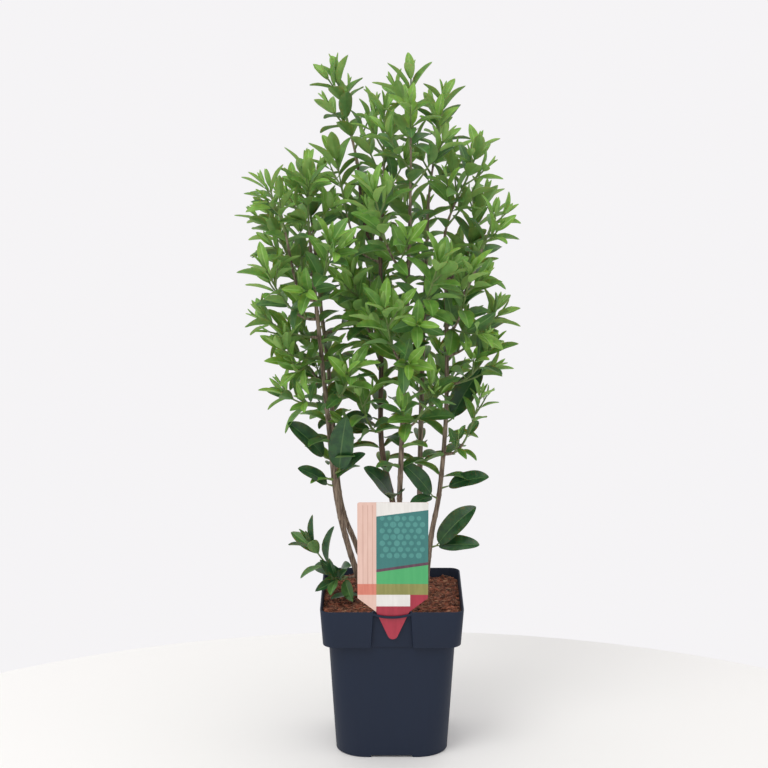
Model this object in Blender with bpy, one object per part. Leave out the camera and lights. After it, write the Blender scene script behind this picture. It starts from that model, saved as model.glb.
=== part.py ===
"""Potted privet shrub: a square nursery pot of coir compost, six canes, their boughs and foliage.

Metres, +Z up. The origin is the centre of the pot's flat underside, and -Y is the label's side.
Run with: blender --background --python part.py
"""
import math
from itertools import zip_longest
from random import Random

import bmesh
import bpy
from mathutils import Matrix, Vector
from mathutils.bvhtree import BVHTree

# Gaps between touching pieces
GAP = 0.0003
LEAF_CLEARANCE = 0.0006

# Pot, outer sizes
POT_HEIGHT = 0.167
POT_TOP_WIDTH = 0.150
POT_FOOT_WIDTH = 0.119
POT_WALL = 0.0016
POT_FLOOR = 0.0022
COLLAR_DEPTH = 0.040
COLLAR_FOOT_WIDTH = 0.1448
BODY_TOP_WIDTH = 0.1327
RIM_CORNER_RADIUS = 0.011
COLLAR_CORNER_RADIUS = 0.014
BODY_CORNER_RADIUS = 0.018
FOOT_CORNER_RADIUS = 0.033
LEAST_CORNER_RADIUS = 0.004
CORNER_STEPS = 5
BODY_BEND_HEIGHT = 0.35
BODY_BEND_RADIUS = 0.45

# Recessed panel in the collar's front and back, with a strap across its mouth
RECESS_DEPTH = 0.004
RECESS_TOP_HALF = 0.0190
RECESS_FOOT_HALF = 0.0215
RECESS_SIDE_SLANT = 0.0007
STRAP_HEIGHT = 0.0026
STRAP_DIP = 0.0040
STRAP_DROP = 0.0004
STRAP_SETBACK = 0.0005
STRAP_STEPS = 6

# Drainage arches under the middle of each side
ARCH_HEIGHT = 0.0020
ARCH_INSET = 0.010
FOOT_BAND = 0.003

# Compost
SOIL_TOP = 0.157
SOIL_EDGE_DROP = 0.0025
SOIL_FLAT_HALF = 0.052

# Plant label, seen from the front
LABEL_WIDTH = 0.073
LABEL_TOP = 0.285
LABEL_SHOULDER = 0.182
LABEL_TONGUE_HALF = 0.0172
LABEL_TIP = 0.137
LABEL_TIP_RADIUS = 0.0055
LABEL_TIP_ARC = (200.0, 340.0)
LABEL_TIP_STEPS = 8
LABEL_THICKNESS = 0.0006
LABEL_X = 0.0008
LABEL_Y = -0.0722

# Canes: route points from the foot up, then the radius at foot and tip
CANE_SIDES = 8
BOUGH_SIDES = 6
ROUTE_STEP = 0.030
FLARE_RADIUS = 1.5
FLARE_HEIGHT = 0.012
CANES = {
    "cane_left": (
        [(-0.030, 0.018), (-0.047, 0.013, 0.213), (-0.059, 0.004, 0.272), (-0.069, -0.008, 0.380),
         (-0.078, -0.018, 0.480), (-0.083, -0.023, 0.538)], 0.0034, 0.0018),
    "cane_left_back": (
        [(-0.019, 0.031), (-0.039, 0.033, 0.208), (-0.056, 0.036, 0.262), (-0.066, 0.040, 0.385),
         (-0.075, 0.045, 0.465), (-0.081, 0.048, 0.526)], 0.0031, 0.0017),
    "cane_dark": (
        [(0.006, 0.020), (0.002, 0.019, 0.250), (-0.011, 0.017, 0.325), (-0.011, 0.014, 0.430),
         (-0.012, 0.012, 0.530), (-0.010, 0.011, 0.572)], 0.0036, 0.0017),
    "cane_middle": (
        [(0.005, -0.012), (0.008, -0.014, 0.270), (0.0125, -0.020, 0.400), (0.016, -0.027, 0.500),
         (0.018, -0.033, 0.580)], 0.0033, 0.0016),
    "cane_right_back": (
        [(0.029, 0.035), (0.0305, 0.038, 0.300), (0.0325, 0.042, 0.400), (0.035, 0.046, 0.480),
         (0.038, 0.050, 0.570)], 0.0033, 0.0016),
    "cane_right": (
        [(0.035, 0.004), (0.042, 0.003, 0.225), (0.051, 0.001, 0.280), (0.057, -0.003, 0.370),
         (0.056, -0.006, 0.480), (0.054, -0.008, 0.545)], 0.0030, 0.0016),
}

# Boughs: cane, height where it leaves, tip, radius at foot and tip
BOUGHS = {
    "bough_left": ("cane_left", 0.486, (-0.108, -0.041, 0.560), 0.0016, 0.0012),
    "bough_left_leader": ("cane_dark", 0.536, (-0.036, 0.030, 0.620), 0.0018, 0.0014),
    "bough_right": ("cane_right", 0.480, (0.092, -0.022, 0.540), 0.0016, 0.0012),
}

# Foliage masses: limb, height where the stem leaves it (None: its tip), tip of the stem,
# leaf length, number of side twigs
MASSES = {
    "leaves_left_low": ("cane_left", 0.372, (-0.112, -0.018, 0.388), 0.030, 1),
    "leaves_left_middle": ("cane_left", 0.424, (-0.114, -0.032, 0.438), 0.031, 1),
    "leaves_left_outer": ("cane_left", 0.446, (-0.132, -0.014, 0.468), 0.031, 2),
    "leaves_left_inner": ("cane_left", 0.376, (-0.040, -0.056, 0.424), 0.031, 1),
    "leaves_left_high": ("cane_left", 0.466, (-0.127, -0.048, 0.522), 0.032, 2),
    "leaves_left_front": ("cane_left", 0.500, (-0.062, -0.088, 0.558), 0.033, 2),
    "leaves_left_upper": ("cane_left", 0.512, (-0.128, 0.006, 0.574), 0.033, 1),
    "leaves_left_top": ("cane_left", None, (-0.086, -0.034, 0.614), 0.033, 3),
    "leaves_left_bough": ("bough_left", None, (-0.122, -0.049, 0.604), 0.031, 2),
    "leaves_dark_low": ("cane_dark", 0.338, (-0.034, -0.020, 0.386), 0.032, 1),
    "leaves_dark_front": ("cane_dark", 0.440, (-0.040, -0.044, 0.516), 0.035, 2),
    "leaves_dark_back": ("cane_dark", 0.410, (-0.022, 0.084, 0.480), 0.035, 2),
    "leaves_dark_high": ("cane_dark", 0.490, (-0.028, 0.074, 0.572), 0.035, 2),
    "leaves_dark_side": ("cane_dark", 0.520, (-0.058, 0.026, 0.626), 0.036, 2),
    "leaves_dark_top": ("cane_dark", None, (-0.008, 0.008, 0.678), 0.032, 4),
    "leaves_leader_top": ("bough_left_leader", None, (-0.057, 0.045, 0.712), 0.032, 3),
    "leaves_middle_right": ("cane_middle", 0.352, (0.040, -0.062, 0.406), 0.032, 2),
    "leaves_middle_left": ("cane_middle", 0.424, (-0.008, -0.086, 0.490), 0.034, 2),
    "leaves_middle_front": ("cane_middle", 0.468, (0.046, -0.090, 0.538), 0.035, 2),
    "leaves_middle_upper": ("cane_middle", 0.522, (-0.018, -0.080, 0.606), 0.034, 2),
    "leaves_middle_top": ("cane_middle", None, (0.0185, -0.041, 0.714), 0.032, 4),
    "leaves_right_shoot": ("cane_right", 0.318, (0.092, -0.026, 0.386), 0.022, 1),
    "leaves_right_low": ("cane_right", 0.394, (0.102, -0.034, 0.440), 0.032, 2),
    "leaves_right_outer": ("cane_right", 0.424, (0.106, 0.014, 0.468), 0.034, 1),
    "leaves_right_front": ("cane_right", 0.452, (0.078, -0.074, 0.524), 0.034, 2),
    "leaves_right_back": ("cane_right", 0.504, (0.096, 0.038, 0.582), 0.034, 2),
    "leaves_right_bough": ("bough_right", None, (0.104, -0.030, 0.574), 0.030, 2),
    "leaves_right_top": ("cane_right", None, (0.086, -0.012, 0.640), 0.032, 4),
    "leaves_sucker": ("cane_left", 0.178, (-0.084, -0.006, 0.218), 0.034, 1),
}

# The two back canes carry their masses in a spiral: limb, first height, rise from one to the next,
# number, first azimuth in degrees, reach at the first and the last, leaf length
SPIRALS = {
    "leaves_back_left": ("cane_left_back", 0.338, 0.050, 4, 95.0, 0.066, 0.056, 0.035),
    "leaves_back_right": ("cane_right_back", 0.346, 0.056, 4, 60.0, 0.062, 0.052, 0.035),
}
SPIRAL_STEP = 137.5
SPIRAL_LIFT = 0.060
SPIRAL_SIDE_TWIGS = 2
BACK_TOPS = {
    "leaves_back_left_top": ("cane_left_back", None, (-0.090, 0.062, 0.610), 0.034, 3),
    "leaves_back_right_top": ("cane_right_back", None, (0.053, 0.058, 0.684), 0.033, 4),
}

# Old leaves low on the canes: cane, height of their bud, then the leaves' tips
OLD_LEAVES = {
    "old_leaf_left": ("cane_left", 0.312, [(-0.103, -0.022, 0.357)]),
    "old_leaf_left_low": ("cane_left", 0.282, [(-0.094, -0.020, 0.309)]),
    "old_leaves_left_inner": ("cane_left", 0.296, [(-0.051, -0.030, 0.357), (-0.031, -0.012, 0.322)]),
    "old_leaves_dark_high": ("cane_dark", 0.350, [(-0.052, -0.012, 0.357), (-0.050, 0.030, 0.345)]),
    "old_leaves_dark_low": ("cane_dark", 0.262, [(-0.018, -0.018, 0.308), (0.006, -0.034, 0.290)]),
    "old_leaves_middle": ("cane_right", 0.268, [(0.014, -0.014, 0.312), (0.020, -0.024, 0.270)]),
    "old_leaf_right": ("cane_right", 0.280, [(0.099, -0.022, 0.300)]),
    "old_leaves_right_low": ("cane_right", 0.214, [(0.083, -0.014, 0.264), (0.091, -0.020, 0.224)]),
    "old_leaf_right_high": ("cane_right", 0.352, [(0.092, 0.012, 0.408)]),
}

# A shoot's bow: shares of its span that run straight out and straight up to the tip
BOW_OUT = 0.30
BOW_UP = 0.35
BOW_RISE = 0.7

# Twigs
SEED = 11
TRIES = 5
STEM_STEP = 0.035
TWIG_SIDES = 3
TWIG_FOOT_RADIUS = 0.0014
TWIG_TIP_RADIUS = 0.0008
SIDE_TWIG_FIRST = 0.16
SIDE_TWIG_SPREAD = 0.60
SIDE_TWIG_ANGLE = 46.0
SIDE_TWIG_RISE = 0.35
SIDE_TWIG_SHARE = 0.42
SIDE_TWIG_LEAST = 0.012
SIDE_TWIG_THINNING = 0.8
BUD_LENGTH = 0.006
BUD_RISE = 0.5
BUD_SINK = 0.35

# Opposite pairs of leaves, each pair a quarter turn from the next
NODE_STEP = 0.020
LAST_NODE = 0.003
FIRST_NODE = 0.019
PAIR_TURN = 90.0
TWIG_TURN = 40.0
TURN_SPREAD = 18.0
TIP_LEAF_SHARE = 0.80
SIDE_TIP_LEAF_SHARE = 0.74
LEAF_GROWTH = 0.12
TIP_ANGLE = 24.0
ANGLE_GROWTH = 12.0

# Leaves, larger than life because there are fewer of them
LEAF_THICKNESS = 0.0009
LEAF_SCALE = 1.22
LEAF_WIDTH_SHARE = 0.48
OLD_WIDTH_SHARE = 0.54
LEAF_WIDEST = 0.42
LEAF_FOLD = 0.10
LEAF_BARE_FOOT = 0.14
OLD_LEAF_UP = (0.0, -0.8, 1.0)

# Edges sharper than this stay hard, in degrees
SMOOTH_ANGLE = 35.0

# Colours: red, green, blue, roughness
PLASTIC = (0.020, 0.028, 0.048, 0.45)
COMPOST = (0.180, 0.065, 0.030, 0.95)
CARD = (0.640, 0.300, 0.240, 0.35)
BARK = (0.230, 0.150, 0.100, 0.85)
YOUNG_LEAF = (0.110, 0.230, 0.030, 0.45)
OLD_LEAF = (0.025, 0.085, 0.025, 0.35)


def clear_scene():
    """Start from an empty file."""
    for obj in list(bpy.data.objects):
        bpy.data.objects.remove(obj, do_unlink=True)


def make_material(name, colour):
    """A plain Principled material from red, green, blue and roughness."""
    red, green, blue, roughness = colour
    material = bpy.data.materials.new(name)
    material.use_nodes = True
    shader = material.node_tree.nodes["Principled BSDF"]
    shader.inputs["Base Color"].default_value = (red, green, blue, 1.0)
    shader.inputs["Roughness"].default_value = roughness
    shader.inputs["Metallic"].default_value = 0.0
    material.diffuse_color = (red, green, blue, 1.0)
    return material


def add_object(name, verts, faces, colour, smooth=False):
    """One named object with its own material."""
    mesh = bpy.data.meshes.new(name)
    mesh.from_pydata([tuple(v) for v in verts], [], faces)
    mesh.materials.append(make_material(name, colour))
    if smooth:
        mesh.shade_smooth()
        mesh.set_sharp_from_angle(angle=math.radians(SMOOTH_ANGLE))
    obj = bpy.data.objects.new(name, mesh)
    bpy.context.scene.collection.objects.link(obj)
    return obj


def loft(rings, close_start=True, close_end=True):
    """Faces over rings of points, each with the same count, listed from outside bottom upwards."""
    count = len(rings[0])
    verts = [point for ring in rings for point in ring]
    faces = []
    for r in range(len(rings) - 1):
        for i in range(count):
            j = (i + 1) % count
            faces.append((r * count + i, r * count + j, (r + 1) * count + j, (r + 1) * count + i))
    if close_start:
        faces.append(tuple(reversed(range(count))))
    if close_end:
        faces.append(tuple(range((len(rings) - 1) * count, len(rings) * count)))
    return verts, faces


def blend(a, b, t):
    """The value a share t of the way from a to b."""
    return a + (b - a) * t


def square_ring(width, radius, z, recess=0.0, shrink=0.0, arch=0.0, arch_inset=0.0):
    """A rounded square with two steps on each side, for the recess and the drainage arch.

    shrink moves the whole wall inwards, as the inner face of a wall does.
    """
    half = width / 2.0 - shrink
    radius = max(radius - shrink, LEAST_CORNER_RADIUS)
    collar_share = min(max((z - (POT_HEIGHT - COLLAR_DEPTH)) / COLLAR_DEPTH, 0.0), 1.0)
    inner = blend(RECESS_FOOT_HALF, RECESS_TOP_HALF, collar_share) + shrink
    outer = inner + RECESS_SIDE_SLANT
    points = []
    for side in range(4):
        turn = Matrix.Rotation(math.radians(90.0 * side), 3, "Z")
        inset = arch_inset + (recess if side % 2 == 0 else 0.0)
        row = [(-outer, -half, z), (-inner, -half + inset, z + arch),
               (inner, -half + inset, z + arch), (outer, -half, z)]
        for step in range(CORNER_STEPS + 1):
            angle = math.radians(-90.0 + 90.0 * step / CORNER_STEPS)
            row.append((half - radius + radius * math.cos(angle),
                        -half + radius + radius * math.sin(angle), z))
        points += [turn @ Vector(p) for p in row]
    return points


def pot_rings():
    """The pot's wall as one closed skin: underside, outside, rim, inside, floor."""
    collar_foot = POT_HEIGHT - COLLAR_DEPTH
    ledge = collar_foot + POT_WALL
    return [
        square_ring(POT_FOOT_WIDTH - 2 * FOOT_BAND, FOOT_CORNER_RADIUS - FOOT_BAND, 0.0,
                    arch_inset=ARCH_INSET),
        square_ring(POT_FOOT_WIDTH, FOOT_CORNER_RADIUS, 0.0, arch=ARCH_HEIGHT),
        square_ring(blend(POT_FOOT_WIDTH, BODY_TOP_WIDTH, BODY_BEND_HEIGHT),
                    blend(FOOT_CORNER_RADIUS, BODY_CORNER_RADIUS, BODY_BEND_RADIUS),
                    collar_foot * BODY_BEND_HEIGHT),
        square_ring(BODY_TOP_WIDTH, BODY_CORNER_RADIUS, collar_foot),
        square_ring(COLLAR_FOOT_WIDTH, COLLAR_CORNER_RADIUS, collar_foot, recess=RECESS_DEPTH),
        square_ring(POT_TOP_WIDTH, RIM_CORNER_RADIUS, POT_HEIGHT, recess=RECESS_DEPTH),
        square_ring(POT_TOP_WIDTH, RIM_CORNER_RADIUS, POT_HEIGHT, recess=RECESS_DEPTH,
                    shrink=POT_WALL),
        square_ring(COLLAR_FOOT_WIDTH, COLLAR_CORNER_RADIUS, ledge, recess=RECESS_DEPTH,
                    shrink=POT_WALL),
        square_ring(BODY_TOP_WIDTH, BODY_CORNER_RADIUS, ledge, shrink=POT_WALL),
        square_ring(POT_FOOT_WIDTH, FOOT_CORNER_RADIUS, ARCH_HEIGHT + POT_FLOOR, shrink=POT_WALL),
    ]


def strap(front):
    """The drooping bar across a recess that holds the label's tongue; front is -1 or +1 in Y."""
    outer_y = POT_TOP_WIDTH / 2.0 - STRAP_SETBACK
    half_span = RECESS_TOP_HALF + RECESS_SIDE_SLANT + POT_WALL * 1.5
    rings = []
    for step in range(STRAP_STEPS + 1):
        share = -1.0 + 2.0 * step / STRAP_STEPS
        x = half_span * share
        top = POT_HEIGHT - STRAP_DROP - STRAP_DIP * (1.0 - share * share)
        ring = [(x, -outer_y, top - STRAP_HEIGHT), (x, -outer_y + POT_WALL, top - STRAP_HEIGHT),
                (x, -outer_y + POT_WALL, top), (x, -outer_y, top)]
        rings.append([Vector(p) for p in reversed(ring)])
    verts, faces = loft(rings)
    if front > 0:
        verts = [Vector((-v.x, -v.y, v.z)) for v in verts]
    return verts, faces


def union_into(target, pieces):
    """One Boolean union of target with a collection of loose pieces, applied and tidied."""
    group = bpy.data.collections.new(target.name + "_pieces")
    bpy.context.scene.collection.children.link(group)
    for number, (verts, faces) in enumerate(pieces):
        mesh = bpy.data.meshes.new("piece")
        mesh.from_pydata([tuple(v) for v in verts], [], faces)
        group.objects.link(bpy.data.objects.new("piece_%d" % number, mesh))
    joiner = target.modifiers.new("join", "BOOLEAN")
    joiner.operation = "UNION"
    joiner.operand_type = "COLLECTION"
    joiner.collection = group
    joiner.solver = "EXACT"
    depsgraph = bpy.context.evaluated_depsgraph_get()
    joined = bpy.data.meshes.new_from_object(target.evaluated_get(depsgraph))
    target.modifiers.remove(joiner)
    old = target.data
    target.data = joined
    joined.name = target.name
    bpy.data.meshes.remove(old)
    for obj in list(group.objects):
        bpy.data.objects.remove(obj, do_unlink=True)
    bpy.data.collections.remove(group)
    keep_largest_shell(target)


def keep_largest_shell(obj):
    """Drop loose scraps and fill sealed hollows by keeping the shell with the most faces."""
    work = bmesh.new()
    work.from_mesh(obj.data)
    unseen = set(work.faces)
    shells = []
    while unseen:
        front = [unseen.pop()]
        shell = list(front)
        while front:
            face = front.pop()
            for edge in face.edges:
                for other in edge.link_faces:
                    if other in unseen:
                        unseen.remove(other)
                        front.append(other)
                        shell.append(other)
        shells.append(shell)
    shells.sort(key=len)
    for shell in shells[:-1]:
        bmesh.ops.delete(work, geom=shell, context="FACES")
    loose = [v for v in work.verts if not v.link_faces]
    bmesh.ops.delete(work, geom=loose, context="VERTS")
    work.to_mesh(obj.data)
    work.free()


def build_pot():
    """The square pot with its stepped collar and a strap on the front and back."""
    verts, faces = loft(pot_rings())
    pot = add_object("pot", verts, faces, PLASTIC)
    union_into(pot, [strap(-1), strap(1)])
    return pot


def build_soil():
    """The compost, following the inside of the pot, flat where the canes stand."""
    collar_foot = POT_HEIGHT - COLLAR_DEPTH
    shrink = POT_WALL + GAP
    edge_top = SOIL_TOP - SOIL_EDGE_DROP
    share = (edge_top - collar_foot) / COLLAR_DEPTH
    width = blend(COLLAR_FOOT_WIDTH, POT_TOP_WIDTH, share)
    radius = blend(COLLAR_CORNER_RADIUS, RIM_CORNER_RADIUS, share)
    ledge = collar_foot + POT_WALL + GAP
    rings = [
        square_ring(POT_FOOT_WIDTH, FOOT_CORNER_RADIUS, ARCH_HEIGHT + POT_FLOOR + GAP, shrink=shrink),
        square_ring(BODY_TOP_WIDTH, BODY_CORNER_RADIUS, ledge, shrink=shrink),
        square_ring(COLLAR_FOOT_WIDTH, COLLAR_CORNER_RADIUS, ledge, recess=RECESS_DEPTH, shrink=shrink),
        square_ring(width, radius, edge_top, recess=RECESS_DEPTH, shrink=shrink),
        square_ring(2 * SOIL_FLAT_HALF, radius, SOIL_TOP),
    ]
    verts, faces = loft(rings)
    return add_object("soil", verts, faces, COMPOST)


def build_label():
    """The plastic label: a plain card, shoulders, and a tongue with a round tip."""
    half = LABEL_WIDTH / 2.0
    outline = [(-half, LABEL_TOP), (-half, LABEL_SHOULDER), (-LABEL_TONGUE_HALF, POT_HEIGHT)]
    arc_centre = LABEL_TIP + LABEL_TIP_RADIUS
    for step in range(LABEL_TIP_STEPS + 1):
        angle = math.radians(blend(*LABEL_TIP_ARC, step / LABEL_TIP_STEPS))
        outline.append((LABEL_TIP_RADIUS * math.cos(angle),
                        arc_centre + LABEL_TIP_RADIUS * math.sin(angle)))
    outline += [(LABEL_TONGUE_HALF, POT_HEIGHT), (half, LABEL_SHOULDER), (half, LABEL_TOP)]
    rings = []
    for side in (0.5, -0.5):
        rings.append([Vector((LABEL_X + x, LABEL_Y + side * LABEL_THICKNESS, z)) for x, z in outline])
    verts, faces = loft(rings)
    return add_object("label", verts, faces, CARD)


def smooth_route(points, step=ROUTE_STEP):
    """A smooth curve through the points, read off about every step."""
    padded = [points[0] * 2 - points[1]] + points + [points[-1] * 2 - points[-2]]
    route = []
    for i in range(1, len(padded) - 2):
        p0, p1, p2, p3 = padded[i - 1:i + 3]
        count = max(1, round((p2 - p1).length / step))
        for k in range(count):
            t = k / count
            route.append(0.5 * (2 * p1 + (p2 - p0) * t + (2 * p0 - 5 * p1 + 4 * p2 - p3) * t * t
                                + (3 * p1 - p0 - 3 * p2 + p3) * t ** 3))
    route.append(points[-1].copy())
    return route


def bow(start, outward, tip, step):
    """A shoot's route: straight out of its limb, then up to its tip."""
    span = (tip - start).length
    along = (tip - start).normalized()
    rise = (along + Vector((0.0, 0.0, BOW_RISE))).normalized()
    p1 = start + outward * span * BOW_OUT
    p2 = tip - rise * span * BOW_UP
    count = max(2, round(span / step))
    route = []
    for k in range(count + 1):
        t = k / count
        route.append(start * (1 - t) ** 3 + p1 * 3 * t * (1 - t) ** 2
                     + p2 * 3 * t * t * (1 - t) + tip * t ** 3)
    return route


def tube(route, radii, sides, first_axis):
    """A closed tapering tube along a route; its first end is cut square to first_axis."""
    rings = []
    axis = first_axis.normalized()
    across = axis.orthogonal().normalized()
    for i, point in enumerate(route):
        if i > 0:
            ahead = route[min(i + 1, len(route) - 1)] - route[i - 1]
            axis = ahead.normalized()
            across = (across - axis * across.dot(axis)).normalized()
        other = axis.cross(across)
        ring = []
        for k in range(sides):
            angle = 2.0 * math.pi * k / sides
            ring.append(point + (across * math.cos(angle) + other * math.sin(angle)) * radii[i])
        rings.append(ring)
    return loft(rings)


class Limb:
    """A cane or bough: its route and its radius at each point of it."""

    def __init__(self, route, radii):
        self.route = route
        self.radii = radii

    def at_height(self, height):
        """Position, direction and radius where the limb passes a height."""
        for i in range(len(self.route) - 1):
            low, high = self.route[i], self.route[i + 1]
            if low.z <= height <= high.z:
                share = (height - low.z) / (high.z - low.z)
                radius = blend(self.radii[i], self.radii[i + 1], share)
                return low.lerp(high, share), (high - low).normalized(), radius
        raise ValueError("no point of the limb is %.3f high" % height)

    def leave(self, height, towards, foot_radius):
        """Where a shoot starts, GAP clear of the limb, and the way it leaves."""
        if height is None:
            outward = (self.route[-1] - self.route[-2]).normalized()
            return self.route[-1] + outward * GAP, outward
        centre, along, radius = self.at_height(height)
        way = towards - centre
        outward = (way - along * way.dot(along)).normalized()
        return centre + outward * (radius + GAP + foot_radius * abs(outward.z)), outward


def taper(count, foot, tip):
    """Radii from foot to tip."""
    return [blend(foot, tip, i / (count - 1)) for i in range(count)]


def build_canes():
    """Six canes from their flat cut on the compost to where their top foliage starts."""
    limbs = {}
    for name, (points, foot, tip) in CANES.items():
        start = Vector((points[0][0], points[0][1], SOIL_TOP + GAP))
        route = smooth_route([start] + [Vector(p) for p in points[1:]])
        route.insert(1, start.lerp(route[1], FLARE_HEIGHT / (route[1] - start).length))
        radii = taper(len(route), foot, tip)
        radii[0] = foot * FLARE_RADIUS
        verts, faces = tube(route, radii, CANE_SIDES, Vector((0.0, 0.0, 1.0)))
        add_object(name, verts, faces, BARK, smooth=True)
        limbs[name] = Limb(route, radii)
    return limbs


def build_boughs(limbs):
    """Boughs that leave a cane and carry masses of their own."""
    for name, (cane, height, tip, foot, tip_radius) in BOUGHS.items():
        tip = Vector(tip)
        start, outward = limbs[cane].leave(height, tip, foot)
        route = bow(start, outward, tip, ROUTE_STEP)
        radii = taper(len(route), foot, tip_radius)
        verts, faces = tube(route, radii, BOUGH_SIDES, outward)
        add_object(name, verts, faces, BARK, smooth=True)
        limbs[name] = Limb(route, radii)


def leaf_shape(base, way, face, length, width, thickness):
    """A folded leaf of six faces: foot, tip, two raised edges and a keel under the midrib."""
    across = way.cross(face).normalized()
    middle = base + way * length * LEAF_WIDEST
    lift = face * width * LEAF_FOLD
    verts = [base, base + way * length, middle - across * width / 2 + lift,
             middle + across * width / 2 + lift, middle - face * thickness]
    faces = [(0, 3, 1), (0, 1, 2), (0, 2, 4), (2, 1, 4), (1, 3, 4), (3, 0, 4)]
    return verts, faces


class Space:
    """What is already taken: solids with the mass they belong to."""

    def __init__(self):
        self.taken = []

    def add(self, owner, verts, faces, node=None):
        """Take up the space of a solid; leaves at one node of a twig may touch."""
        centre = sum(verts, Vector()) / len(verts)
        reach = max((v - centre).length for v in verts)
        self.taken.append((owner, node, centre, reach, BVHTree.FromPolygons(verts, faces)))

    def is_free(self, owner, verts, faces, node=None, beside_own=False):
        """Whether a solid touches nothing of another mass, and no leaf of another node.

        beside_own leaves the solid's own mass out of the test.
        """
        centre = sum(verts, Vector()) / len(verts)
        reach = max((v - centre).length for v in verts)
        probe = BVHTree.FromPolygons(verts, faces)
        for other, other_node, other_centre, other_reach, tree in self.taken:
            if other == owner and (beside_own or other_node is None or other_node == node):
                continue
            if (centre - other_centre).length < reach + other_reach and probe.overlap(tree):
                return False
        return True


class Mass:
    """One mass of foliage: its own stem, side twigs and leaves."""

    def __init__(self, name, route, outward, leaf_length, twigs, seed):
        self.name = name
        self.leaf_length = leaf_length
        self.random = Random(seed)
        self.axes = [route]
        self.side_twigs = twigs
        self.pieces = []
        self.spin = self.random.uniform(0.0, 360.0)
        self.stem = twig_tube(route, outward, TWIG_FOOT_RADIUS)


def place_on(route, distance):
    """Point and direction at a distance along a route."""
    for low, high in zip(route, route[1:]):
        piece = (high - low).length
        if distance <= piece or high is route[-1]:
            return low.lerp(high, min(distance / piece, 1.0)), (high - low).normalized()
        distance -= piece


def route_length(route):
    """Length along a route."""
    return sum((route[i + 1] - route[i]).length for i in range(len(route) - 1))


def twig_tube(route, outward, foot, clearance=0.0):
    """A three-sided twig, or the room it needs with a clearance round it."""
    return tube(route, taper(len(route), foot + clearance, TWIG_TIP_RADIUS + clearance),
                TWIG_SIDES, outward)


def turned(along, degrees_round):
    """A direction square to along, turned about it."""
    side = along.cross(Vector((0.0, 0.0, 1.0)))
    if side.length < 0.05:
        side = along.cross(Vector((0.0, 1.0, 0.0)))
    return Matrix.Rotation(math.radians(degrees_round), 3, along) @ side.normalized()


def grow_side_twigs(mass, space):
    """Side twigs from the first nodes of the stem, one each way in turn."""
    route = mass.axes[0]
    whole = route_length(route)
    thin = TWIG_FOOT_RADIUS * SIDE_TWIG_THINNING
    for number in range(mass.side_twigs):
        distance = whole * (SIDE_TWIG_FIRST + SIDE_TWIG_SPREAD * number / max(mass.side_twigs, 2))
        foot, along = place_on(route, distance)
        for attempt in range(TRIES):
            spin = mass.spin + 180.0 * number + mass.random.uniform(-30.0, 30.0) + 60.0 * attempt
            angle = math.radians(SIDE_TWIG_ANGLE)
            way = along * math.cos(angle) + turned(along, spin) * math.sin(angle)
            length = (whole - distance) * SIDE_TWIG_SHARE + SIDE_TWIG_LEAST
            tip = foot + (way + Vector((0.0, 0.0, SIDE_TWIG_RISE))).normalized() * length
            if space.is_free(mass.name, *twig_tube([foot, tip], way, thin, LEAF_CLEARANCE)):
                twig = twig_tube([foot, tip], way, thin)
                space.add(mass.name, *twig)
                mass.pieces.append(twig)
                mass.axes.append([foot, tip])
                break


def leaf_sites(mass):
    """Opposite pairs, a quarter turn from node to node; they grow and open away from the tip."""
    sites = []
    for number, route in enumerate(mass.axes):
        distance = route_length(route) - LAST_NODE
        tip_share = SIDE_TIP_LEAF_SHARE if number else TIP_LEAF_SHARE
        for pair in range(1 + max(0, int((distance - FIRST_NODE) / NODE_STEP))):
            point, along = place_on(route, distance - pair * NODE_STEP)
            jitter = mass.random.uniform(-TURN_SPREAD, TURN_SPREAD)
            spin = mass.spin + PAIR_TURN * pair + TWIG_TURN * number + jitter
            size = tip_share + LEAF_GROWTH * min(pair, 2)
            open_angle = TIP_ANGLE + ANGLE_GROWTH * min(pair, 3)
            for side in (0.0, 180.0):
                sites.append(((number, pair), point, along, spin + side, open_angle, size))
    return sites


def grow_leaf(mass, space, site):
    """Fuse a leaf on at a site, or skip it where it would touch something."""
    node, point, along, spin, open_angle, size = site
    for attempt in range(TRIES):
        turn = spin + mass.random.uniform(-8.0, 8.0) * (attempt + 1)
        angle = math.radians(open_angle + mass.random.uniform(-6.0, 6.0) * attempt)
        length = mass.leaf_length * LEAF_SCALE * size * (1.0 - 0.07 * attempt)
        way = along * math.cos(angle) + turned(along, turn) * math.sin(angle)
        if add_leaf(mass, space, node, point, way, along, length, LEAF_WIDTH_SHARE):
            return


def add_leaf(mass, space, node, base, way, along, length, width_share):
    """Add one leaf if its space is free; its foot is on the twig's axis."""
    face = (along - way * along.dot(way)).normalized()
    width = length * width_share
    bare = length * LEAF_BARE_FOOT
    room = 2 * LEAF_CLEARANCE
    whole = leaf_shape(base, way, face, length + room, width + room, LEAF_THICKNESS + room)
    outer = leaf_shape(base + way * bare, way, face, length - bare + room, width + room,
                       LEAF_THICKNESS + room)
    if not space.is_free(mass.name, *whole, beside_own=True):
        return False
    if not space.is_free(mass.name, *outer, node):
        return False
    leaf = leaf_shape(base, way, face, length, width, LEAF_THICKNESS)
    space.add(mass.name, *leaf, node)
    mass.pieces.append(leaf)
    return True


def spiral_masses():
    """The back canes' masses, spaced evenly up the cane and round it."""
    rows = {}
    for name, (limb, first, rise, number, azimuth, low_reach, high_reach, leaf) in SPIRALS.items():
        for i in range(number):
            angle = math.radians(azimuth + SPIRAL_STEP * i)
            reach = blend(low_reach, high_reach, i / (number - 1))
            offset = Vector((math.cos(angle) * reach, math.sin(angle) * reach, SPIRAL_LIFT))
            rows["%s_%d" % (name, i + 1)] = (limb, first + rise * i, offset, leaf, SPIRAL_SIDE_TWIGS)
    return rows


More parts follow.
